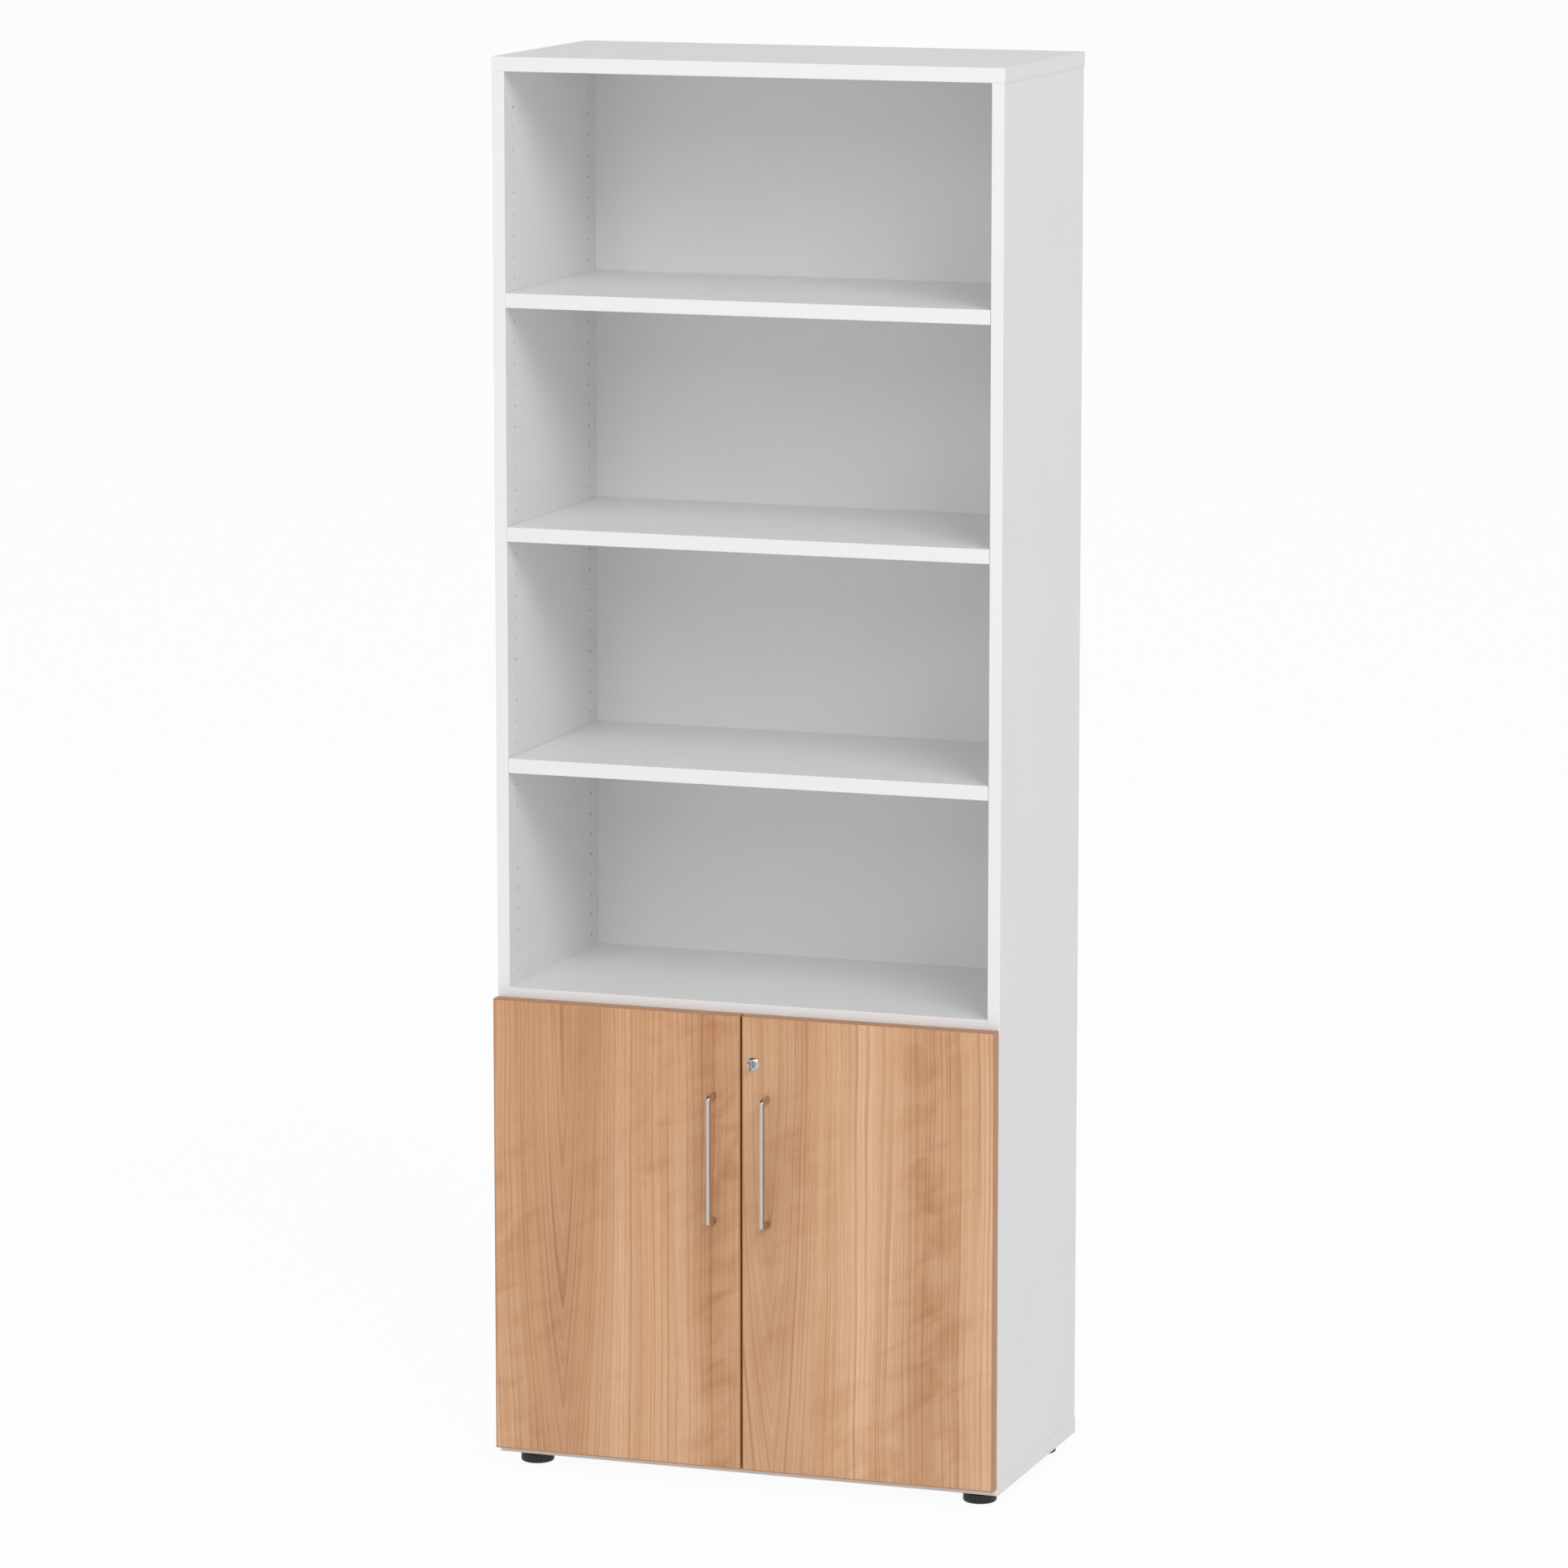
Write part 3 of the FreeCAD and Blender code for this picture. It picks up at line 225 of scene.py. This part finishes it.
def curly_figure(tree, where):
    """Soft feathers of shadow, 80 mm long and 36 mm wide, that rise to the right."""
    drawn = add(tree, "ShaderNodeMapping", {"Vector": where, "Rotation": (0, -0.6, 0),
                                            "Scale": (0.08, 1, 0.036)}, vector_type="TEXTURE")
    curl = add(tree, "ShaderNodeTexNoise", {"Vector": drawn, "Scale": 1, "Detail": 2,
                                            "Distortion": 0.7})
    return add(tree, "ShaderNodeValToRGB", {"Fac": curl},
               stops=[(0.3, "#EDDED1"), (0.58, "#FFFFFF")])


def edge_band_and_shade(tree, x, z):
    """One on the 2 mm of ABS round each leaf and on its narrow faces, where the band's darker tone
    is painted shade.
    """
    low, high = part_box("door_right")
    margins = []
    for axis, place in ((0, x), (2, z)):
        place = add(tree, "ShaderNodeMath", {0: place}, operation="ABSOLUTE")
        place = add(tree, "ShaderNodeMath", {0: place, 1: (low[axis] + high[axis]) / 2},
                    operation="SUBTRACT")
        place = add(tree, "ShaderNodeMath", {0: place}, operation="ABSOLUTE")
        margins.append(add(tree, "ShaderNodeMath", {0: (high[axis] - low[axis]) / 2, 1: place},
                           operation="SUBTRACT"))
    margin = add(tree, "ShaderNodeMath", {0: margins[0], 1: margins[1]}, operation="MINIMUM")
    return add(tree, "ShaderNodeMath", {0: margin, 1: 0.0018}, operation="LESS_THAN")


def walnut_melamine():
    """Light walnut decor paper under melamine, with ABS edge bands.

    The eye sees fine upright growth lines, pointed hearts low in each leaf, broad soft light and
    dark stripes, a curly cross figure, short pores, and a darker line at the edges: the ABS band,
    darkened by painted shade of the gaps and of edges turned from the light.
    """
    made, tree, shader = finish_of("walnut_melamine", "#CB9F7B", 0.45)
    where = add(tree, "ShaderNodeTexCoord", out="Object")
    x = add(tree, "ShaderNodeSeparateXYZ", {"Vector": where}, out="X")
    z = add(tree, "ShaderNodeSeparateXYZ", {"Vector": where}, out="Z")
    right = add(tree, "ShaderNodeMath", {0: x, 1: 0.0}, operation="GREATER_THAN")
    # slow changes along the board: cells 143 mm wide and 417 mm tall
    slow = add(tree, "ShaderNodeMapping", {"Vector": where, "Scale": (cell(143), 0, cell(417))})
    slow = add(tree, "ShaderNodeTexNoise", {"Vector": slow, "Scale": 1, "Detail": 2})
    off, ring = growth_rings(tree, x, z, right, slow)
    along = add(tree, "ShaderNodeMath", {0: z, 1: 0.01}, operation="MULTIPLY")
    grain = add(tree, "ShaderNodeCombineXYZ", {"X": ring, "Y": along, "Z": right})

    # broad stripes of 55 mm between a light and a darker tone
    stripes = add(tree, "ShaderNodeTexNoise", {"Vector": grain, "Scale": cell(55.5),
                                               "Detail": 1})
    face = add(tree, "ShaderNodeValToRGB", {"Fac": stripes},
               stops=[(0.34, "#DCAF88"), (0.5, "#E3BA95"), (0.66, "#EAC4A4")])
    # the board is darker in patches round its heart and in a curly band beside it
    curly = near(tree, off, CURLY_BAND, 420.0)
    dark = add(tree, "ShaderNodeMath", {0: near(tree, off, 0.0, 190.0), 1: curly},
               operation="MAXIMUM")
    patchy = add(tree, "ShaderNodeMapRange", {"Value": slow, "From Min": 0.35, "From Max": 0.65,
                                              "To Min": 0.35, "To Max": 0.8})
    dark = add(tree, "ShaderNodeMath", {0: dark, 1: patchy}, operation="MULTIPLY")
    face = add(tree, "ShaderNodeMix", {"Factor": dark, "A": face, "B": "#C5966F"}, out="Result",
               data_type="RGBA")

    line_tone, line_share = growth_lines(tree, grain, ring)
    fine = add(tree, "ShaderNodeTexNoise", {"Vector": grain, "Scale": cell(3), "Detail": 2})
    fine_tone = add(tree, "ShaderNodeValToRGB", {"Fac": fine},
                    stops=[(0.34, "#F0E6DD"), (0.6, "#FFFFFF")])
    curl_share = add(tree, "ShaderNodeMapRange", {"Value": slow, "From Min": 0.42,
                                                  "From Max": 0.62, "To Max": 0.7})
    curl_share = add(tree, "ShaderNodeMath", {0: curl_share, 1: curly}, operation="MAXIMUM")
    # pores are 0.2 mm wide and 4 mm long; drawn 1 mm wide and 25 mm long so that they show
    pores = add(tree, "ShaderNodeMapping", {"Vector": where, "Scale": (cell(1.1), 0, cell(25))})
    pores = add(tree, "ShaderNodeTexNoise", {"Vector": pores, "Scale": 1, "Detail": 1})
    pore_tone = add(tree, "ShaderNodeValToRGB", {"Fac": pores},
                    stops=[(0.3, "#E8D8CB"), (0.45, "#FFFFFF")])
    # painted shade: the board is drawn darker and redder towards its upper end, the left leaf's
    # more than the right one's
    upper_shade = add(tree, "ShaderNodeMapRange", {"Value": z, "From Min": 0.15, "From Max": 0.75,
                                              "To Min": 0.21})
    upper_shade = add(tree, "ShaderNodeMath", {0: right, 1: -0.5, 2: upper_shade},
                 operation="MULTIPLY_ADD", use_clamp=True)
    # the last tone is the painted shade towards the upper end
    for tone, share in ((line_tone, line_share), (fine_tone, 0.68),
                        (curly_figure(tree, where), curl_share), (pore_tone, 0.4),
                        ("#F5EADF", upper_shade)):
        face = add(tree, "ShaderNodeMix", {"Factor": share, "A": face, "B": tone}, out="Result",
                   data_type="RGBA", blend_type="MULTIPLY")
    # the ABS band is real; its darker tone is painted shade of the gaps round the door and of
    # edges turned from the light
    face = add(tree, "ShaderNodeMix", {"Factor": edge_band_and_shade(tree, x, z), "A": face,
                                       "B": "#B58259"}, out="Result", data_type="RGBA")
    tree.links.new(face, shader.inputs["Base Color"])
    bump = add(tree, "ShaderNodeBump", {"Height": pores, "Strength": 0.12, "Distance": 0.0001})
    tree.links.new(bump, shader.inputs["Normal"])
    return made


def grained(name, colour, roughness, metallic, size, stretch, depth):
    """A finish whose sheen and relief vary over a pattern.

    The pattern's cells are that size in millimetres, stretched along X, Y and Z, and the
    relief is that deep in metres.
    """
    made, tree, shader = finish_of(name, colour, roughness, metallic)
    where = add(tree, "ShaderNodeTexCoord", out="Object")
    drawn = add(tree, "ShaderNodeMapping", {"Vector": where, "Scale": [1 / s for s in stretch]})
    pattern = add(tree, "ShaderNodeTexNoise", {"Vector": drawn, "Scale": cell(size),
                                               "Detail": 3})
    sheen = add(tree, "ShaderNodeMapRange", {"Value": pattern, "From Min": 0.25,
                                             "From Max": 0.75, "To Min": roughness * 0.8,
                                             "To Max": roughness * 1.2})
    tree.links.new(sheen, shader.inputs["Roughness"])
    bump = add(tree, "ShaderNodeBump", {"Height": pattern, "Strength": 0.2, "Distance": depth})
    tree.links.new(bump, shader.inputs["Normal"])
    return made


EVEN, UPRIGHT = (1, 1, 1), (1, 1, 50)
FINISHES = {
    "white_melamine": white_melamine(),
    "walnut_melamine": walnut_melamine(),
    # brushed stainless steel: fine lines along the bar draw the highlights out; the brush
    # leaves lines 0.1 mm apart, drawn at 0.8 mm so that they show
    "brushed_stainless": grained("brushed_stainless", "#C6C1BC", 0.26, 1.0, 0.8, UPRIGHT,
                                 0.00002),
    # polished chrome plate on brass: a hard mirror with a trace of polishing haze
    "chrome_plate": grained("chrome_plate", "#C2C3C4", 0.06, 1.0, 1.5, EVEN, 0.000005),
    # nickel-plated pressed steel: bright, slightly warm, with faint press marks
    "nickel_plate": grained("nickel_plate", "#CFCBC4", 0.24, 1.0, 3, EVEN, 0.00002),
    # zinc-plated steel: greyer and duller than nickel, a little mottled
    "zinc_plate": grained("zinc_plate", "#B9B9B6", 0.36, 1.0, 2, EVEN, 0.00003),
    # injection-moulded black polyamide: a matt spark-eroded texture
    "black_polyamide": grained("black_polyamide", "#232323", 0.5, 0.0, 0.6, EVEN, 0.00008),
    # injection-moulded white ABS: smooth, with a soft gloss
    "white_abs": grained("white_abs", "#E4E4E1", 0.35, 0.0, 1.2, EVEN, 0.00003),
    # soft cast polyurethane: milky, half clear, slightly tacky
    "soft_polyurethane": grained("soft_polyurethane", "#DAD9D2", 0.3, 0.0, 1.5, EVEN, 0.00003),
    # turned beech dowel: raw wood with grain along the peg
    "raw_beech": grained("raw_beech", "#D3AE83", 0.6, 0.0, 1, (1, 1, 16), 0.0001),
}
SLOT_FINISH = {
    "white_board": "white_melamine", "walnut_decor": "walnut_melamine", "beech": "raw_beech",
    "black_plastic": "black_polyamide", "white_plastic": "white_abs",
    "clear_bumper": "soft_polyurethane", "satin_steel": "brushed_stainless",
    "nickel": "nickel_plate", "zinc": "zinc_plate", "bright_chrome": "chrome_plate",
}


def dress(piece, slot):
    """Give a piece the finish of a material slot."""
    piece.data.materials.clear()
    piece.data.materials.append(FINISHES[SLOT_FINISH[slot]])


# ------------------------------------------------------------------ modelling helpers

def deselect():
    """Nothing is selected or being edited."""
    if bpy.context.object and bpy.context.object.mode != "OBJECT":
        bpy.ops.object.mode_set(mode="OBJECT")
    bpy.ops.object.select_all(action="DESELECT")


def take(piece):
    """Only this piece is selected, in object mode."""
    deselect()
    bpy.context.view_layer.objects.active = piece
    piece.select_set(True)


def start_cylinder(name, radius, depth, centre, axis="z", vertices=64):
    """A cylinder primitive along an axis, with its place in its mesh."""
    deselect()
    turns = {"x": (0, math.pi / 2, 0), "y": (math.pi / 2, 0, 0), "z": (0, 0, 0)}
    bpy.ops.mesh.primitive_cylinder_add(vertices=vertices, radius=radius, depth=depth,
                                        location=centre, rotation=turns[axis])
    made = bpy.context.object
    made.name = name
    bpy.ops.object.transform_apply(location=True, rotation=True, scale=True)
    return made


def pick_faces(piece, wanted):
    """In edit mode, select only the faces whose centre and normal pass the test."""
    if bpy.context.object is not piece or piece.mode != "EDIT":
        take(piece)
        bpy.ops.object.mode_set(mode="EDIT")
    bpy.ops.mesh.select_mode(type="FACE")
    bpy.ops.mesh.select_all(action="DESELECT")
    form = bmesh.from_edit_mesh(piece.data)
    for face in form.faces:
        face.select = wanted(face.calc_center_median(), face.normal)
    bmesh.update_edit_mesh(piece.data)


def step_face(inset, travel):
    """Inset the selected face and carry it along."""
    bpy.ops.mesh.inset(thickness=inset, depth=0)
    if any(travel):
        bpy.ops.mesh.extrude_region_move(TRANSFORM_OT_translate={"value": travel})


def ease(piece, width):
    """Leave edit mode and round the sharp edges."""
    take(piece)
    rounding = piece.modifiers.new("rounding", "BEVEL")
    rounding.width = width
    rounding.segments = 2
    rounding.limit_method = "ANGLE"
    rounding.angle_limit = math.radians(30)
    bpy.ops.object.modifier_apply(modifier=rounding.name)


def settle(piece):
    """Leave edit mode and shade the piece smooth up to its sharp edges."""
    take(piece)
    bpy.ops.object.shade_smooth_by_angle(angle=math.radians(35))
    return piece


def finished(piece, body, slot, stands_for=None):
    """Dress a piece, let it ride on a body and say which CAD node it stands for."""
    dress(piece, slot)
    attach(piece, body)
    if stands_for:
        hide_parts(stands_for)
    return piece


def softened_copy(name, source, bevel, body, slot):
    """A CAD node's form with its edges eased; it stands for the node."""
    copy = node[source].copy()
    copy.data = node[source].data.copy()
    copy.name = name
    copy.parent = None
    for key in list(copy.keys()):
        del copy[key]
    bpy.context.scene.collection.objects.link(copy)
    take(copy)
    bpy.ops.object.mode_set(mode="EDIT")
    bpy.ops.mesh.select_all(action="SELECT")
    bpy.ops.mesh.remove_doubles(threshold=0.00001)
    bpy.ops.mesh.dissolve_limited(angle_limit=math.radians(2))
    ease(copy, bevel)
    settle(copy)
    finished(copy, body, slot, source)


def copies(model, names_and_places, slot):
    """Copies of a model made at the origin, each with its own mesh, place and body."""
    made = []
    for name, place, body in names_and_places:
        data = model.data.copy()
        data.transform(place)
        copy = bpy.data.objects.new(name, data)
        bpy.context.scene.collection.objects.link(copy)
        made.append(finished(copy, body, slot))
    bpy.data.objects.remove(model)
    return made


def corners(name):
    """Lowest and highest corner of a CAD node."""
    return [Vector(corner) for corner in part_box(name)]


def middle(name):
    """Centre of a CAD node's box."""
    low, high = corners(name)
    return (low + high) / 2


# ------------------------------------------------------------------ levelling feet

def make_feet():
    """Moulded foot: a grip rim over a rounded sole, a stepped top and the threaded spindle."""
    low, high = corners("foot_front_left")
    radius, height, spindle_radius, sole_round = (high.x - low.x) / 2, 0.014, 0.005, 0.003
    lip, slope, trough_width, trough_depth = 0.004, 0.001, 0.008, 0.0015
    # 24 finger grooves round the rim, each one face wide, with three faces between them
    rim_faces, groove_pitch, groove_edge, groove_depth = 96, 4, 0.0003, 0.0006
    foot = start_cylinder("foot_model", radius, height, (0, 0, height / 2), vertices=rim_faces)
    pick_faces(foot, lambda spot, normal: normal.z > 0.9)
    step_face(lip, (0, 0, 0))
    step_face(slope, (0, 0, -trough_depth))
    step_face(trough_width, (0, 0, 0))
    step_face(slope, (0, 0, trough_depth))
    step_face(radius - lip - trough_width - 2 * slope - spindle_radius, (0, 0, high.z - height))
    pick_faces(foot, lambda spot, normal: normal.z < -0.9)
    bpy.ops.mesh.bevel(offset=sole_round, segments=5)
    ease(foot, 0.0003)

    def on_groove(spot, normal):
        """A face of the rim, between its sole and its top edge, at a groove's place."""
        count = math.degrees(math.atan2(spot.y, spot.x)) * rim_faces / 360 - 0.5
        return (abs(normal.z) < 0.1 and spot.xy.length > radius * 0.9
                and 0.002 < spot.z < 0.0125 and round(count) % groove_pitch == 0)

    pick_faces(foot, on_groove)
    bpy.ops.mesh.inset(thickness=groove_edge, use_individual=True)
    bpy.ops.transform.shrink_fatten(value=-groove_depth)
    settle(foot)
    places = []
    for name in FOOT_NAMES:
        centre = middle(f"foot_{name}")
        places.append((f"levelling_foot_{name}", Matrix.Translation((centre.x, centre.y, 0)),
                       f"foot_{name}"))
    for copy, name in zip(copies(foot, places, "black_plastic"), FOOT_NAMES):
        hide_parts(f"foot_{name}")


# ------------------------------------------------------------------ lock

def make_lock_face():
    """Turned lock barrel: a domed rosette with a bore for the plug, and the tube behind it."""
    low, high = corners("lock_barrel")
    centre = middle("lock_barrel")
    radius, tube_radius, bore_radius, bore_depth = (high.z - low.z) / 2, 0.008, 0.00605, 0.022
    # the dome is an arc that slopes by 45 degrees at the rim and 18 at the lip of the bore
    lip, steps, steep, flat = 0.0004, 8, math.radians(45), math.radians(18)
    curve = (radius - bore_radius - lip) / (math.sin(steep) - math.sin(flat))
    rim = DOOR_FRONT - low.y - curve * (math.cos(flat) - math.cos(steep))
    barrel = start_cylinder("lock_rosette", radius, rim,
                            (centre.x, DOOR_FRONT - rim / 2, centre.z), "y", 96)
    pick_faces(barrel, lambda spot, normal: normal.y < -0.9)
    slopes = [steep + (flat - steep) * step / steps for step in range(steps + 1)]
    for slope, flatter in zip(slopes, slopes[1:]):
        bpy.ops.mesh.inset(thickness=curve * (math.sin(slope) - math.sin(flatter)),
                           depth=curve * (math.cos(flatter) - math.cos(slope)))
    step_face(lip, (0, bore_depth, 0))
    pick_faces(barrel, lambda spot, normal: normal.y > 0.9 and abs(spot.y - DOOR_FRONT) < 0.0001)
    step_face(radius - tube_radius, (0, high.y - DOOR_FRONT, 0))
    settle(barrel)
    finished(barrel, "right_door", "bright_chrome", "lock_barrel")


# ------------------------------------------------------------------ screws

def screw_head(radius, height, slot_length):
    """A countersunk head with a cross recess, facing up, with its seat at the origin."""
    slot_width, slot_depth = slot_length * 0.22, height * 0.7
    head = start_cylinder("screw_head", radius, height, (0, 0, height / 2), vertices=32)
    pick_faces(head, lambda centre, normal: normal.z > 0.9)
    bpy.ops.mesh.bevel(offset=height / 2, segments=2)
    deselect()
    for size in ((slot_length, slot_width, 2 * slot_depth),
                 (slot_width, slot_length, 2 * slot_depth)):
        bpy.ops.mesh.primitive_cube_add(size=1, location=(0, 0, height))
        blade = bpy.context.object
        blade.scale = size
        bpy.ops.object.transform_apply(location=True, rotation=True, scale=True)
        cutter = head.modifiers.new("recess", "BOOLEAN")
        cutter.operation = "DIFFERENCE"
        cutter.solver = "EXACT"
        cutter.object = blade
        take(head)
        bpy.ops.object.modifier_apply(modifier=cutter.name)
        bpy.data.objects.remove(blade)
    return settle(head)


def facing(spot, direction):
    """Stand a model made facing up at a spot, facing a direction."""
    turn = Vector(direction).to_track_quat("Z", "Y").to_matrix().to_4x4()
    return Matrix.Translation(spot) @ turn


# radius, height and length of the cross recess of each kind of screw
SYSTEM_SCREW, WOOD_SCREW, HANDLE_SCREW = ((0.0036, 0.0018, 0.0046), (0.0034, 0.0009, 0.0042),
                                          (0.0035, 0.0018, 0.0042))


def make_screws():
    """The heads of all screws, on the bodies that they hold."""
    system_row, half_pitch, wing = CARCASS_FRONT + 0.037, 0.016, 0.002
    arm_screw = CARCASS_FRONT + 0.049
    cup_screw_spread, cup_screw_offset = 0.026, 0.0055
    handle_end, keeper_spread = 0.005, 0.01
    guide_spread, guide_drop = 0.0087, 0.016
    system, wood, panhead = [], [], []
    for side, sign in SIDES.items():
        door = f"{side}_door"
        for level in LEVELS:
            plate, cup = middle(f"hinge_plate_{side}_{level}"), middle(f"hinge_cup_{side}_{level}")
            cup_rim = corners(f"hinge_cup_{side}_{level}")[1].y
            web = min(abs(corner.x) for corner in corners(f"hinge_arm_{side}_{level}"))
            for i, step in enumerate((-1, 1)):
                spot = (sign * (CARCASS_INNER - wing), system_row, plate.z + step * half_pitch)
                system.append((f"plate_screw_{side}_{level}_{i}", facing(spot, (-sign, 0, 0)),
                               "carcass"))
                spot = (cup.x - sign * cup_screw_offset, cup_rim, cup.z + step * cup_screw_spread)
                wood.append((f"cup_screw_{side}_{level}_{i}", facing(spot, (0, 1, 0)), door))
            wood.append((f"arm_screw_{side}_{level}",
                         facing((sign * web, arm_screw, plate.z), (-sign, 0, 0)), "carcass"))
        low, high = corners(f"handle_{side}")
        for i, z in enumerate((low.z + handle_end, high.z - handle_end)):
            spot = (middle(f"handle_{side}").x, DOOR_REAR, z)
            panhead.append((f"handle_screw_{side}_{i}", facing(spot, (0, 1, 0)), door))
    # the keeper's screws are sunk by 0.4 mm
    keeper, guide, sunk = middle("keeper"), middle("bolt_guide"), 0.0004
    keeper_face, guide_face = corners("keeper")[1].y - sunk, corners("bolt_guide")[1].y
    for i, step in enumerate((-1, 1)):
        spot = (keeper.x, keeper_face, keeper.z + step * keeper_spread)
        wood.append((f"keeper_screw_{i}", facing(spot, (0, 1, 0)), "left_door"))
        spot = (guide.x + step * guide_spread, guide_face, guide.z - guide_drop)
        wood.append((f"guide_screw_{i}", facing(spot, (0, 1, 0)), "left_door"))
    copies(screw_head(*SYSTEM_SCREW), system, "nickel")
    copies(screw_head(*WOOD_SCREW), wood, "zinc")
    copies(screw_head(*HANDLE_SCREW), panhead, "zinc")


# ------------------------------------------------------------------ light and ground

def softbox(name, place, power):
    """A soft lamp, 6 m square, that faces the middle of the bookcase."""
    data = bpy.data.lights.new(name, "AREA")
    data.size, data.energy = 6, power
    lamp = bpy.data.objects.new(name, data)
    lamp.location = place
    aim = Vector((0, 0, 1.1)) - Vector(place)
    lamp.rotation_euler = aim.to_track_quat("-Z", "Y").to_euler()
    bpy.context.scene.collection.objects.link(lamp)


def shown_rays(tree):
    """One where a ray comes from the camera, a mirror or a clear piece."""
    seen = add(tree, "ShaderNodeMath", {0: add(tree, "ShaderNodeLightPath", out="Is Camera Ray"),
                                        1: add(tree, "ShaderNodeLightPath", out="Is Glossy Ray")},
               operation="MAXIMUM")
    clear = add(tree, "ShaderNodeLightPath", out="Is Transmission Ray")
    return add(tree, "ShaderNodeMath", {0: seen, 1: clear}, operation="MAXIMUM")


def make_ground():
    """A plain pale floor that runs into a white surround."""
    deselect()
    bpy.ops.mesh.primitive_plane_add(size=120, location=(0, 0, 0))
    floor = bpy.context.object
    floor.name = "studio_floor"
    made = bpy.data.materials.new("pale_floor")
    made.use_nodes = True
    tree = made.node_tree
    tree.nodes.clear()
    matt = add(tree, "ShaderNodeBsdfDiffuse", {"Color": "#F8F8F8"})
    glow = add(tree, "ShaderNodeEmission", {"Color": "#FFFFFF", "Strength": 1.0})
    # the rest of the floor is lit, so that it keeps a trace of the bookcase's shadow
    share = add(tree, "ShaderNodeMath", {0: shown_rays(tree), 1: 0.95}, operation="MULTIPLY")
    mixed = add(tree, "ShaderNodeMixShader", {0: share, 1: matt, 2: glow})
    add(tree, "ShaderNodeOutputMaterial", {"Surface": mixed})
    floor.data.materials.append(made)


def make_surround():
    """An even white surround; what lights the object is dimmer than what is seen.

    Only mirrors see the dim ceiling overhead, which gives bent metal its contrast.
    """
    world = bpy.data.worlds.new("surround")
    bpy.context.scene.world = world
    world.use_nodes = True
    tree = world.node_tree
    tree.nodes.clear()
    heading = add(tree, "ShaderNodeTexCoord", out="Generated")
    upward = add(tree, "ShaderNodeSeparateXYZ", {"Vector": heading}, out="Z")
    ceiling = add(tree, "ShaderNodeMapRange", {"Value": upward, "From Min": 0.3,
                                               "From Max": 0.6, "To Max": 0.9})
    mirrored = add(tree, "ShaderNodeLightPath", out="Is Glossy Ray")
    ceiling = add(tree, "ShaderNodeMath", {0: ceiling, 1: mirrored}, operation="MULTIPLY")
    bright = add(tree, "ShaderNodeMath", {0: 1.0, 1: ceiling}, operation="SUBTRACT")
    lit = add(tree, "ShaderNodeBackground", {"Color": "#FFFFFF", "Strength": 0.53})
    seen = add(tree, "ShaderNodeBackground", {"Color": "#FFFFFF", "Strength": bright})
    mixed = add(tree, "ShaderNodeMixShader", {0: shown_rays(tree), 1: lit, 2: seen})
    add(tree, "ShaderNodeOutputWorld", {"Surface": mixed})


# ------------------------------------------------------------------ assembly

set_camera()
for entry in frame["record"]["subparts"]:
    dress(node[entry["node"]], entry["material_slot"])
make_feet()
make_lock_face()
softened_copy("key", "lock_key", 0.0003, "lock", "bright_chrome")
for side in SIDES:
    softened_copy(f"bow_handle_{side}", f"handle_{side}", 0.0005, f"{side}_door", "satin_steel")
    for level in LEVELS:
        softened_copy(f"cup_{side}_{level}", f"hinge_cup_{side}_{level}", 0.0002, f"{side}_door",
                      "nickel")
        for part in ("arm", "plate"):
            softened_copy(f"{part}_{side}_{level}", f"hinge_{part}_{side}_{level}", 0.0003,
                          "carcass", "nickel")
make_screws()
make_ground()
make_surround()
softbox("key_softbox", (7.4, -8.2, 9.7), 660)
softbox("front_softbox", (0, -12, 8.3), 270)

bpy.context.scene.view_settings.view_transform = "Standard"
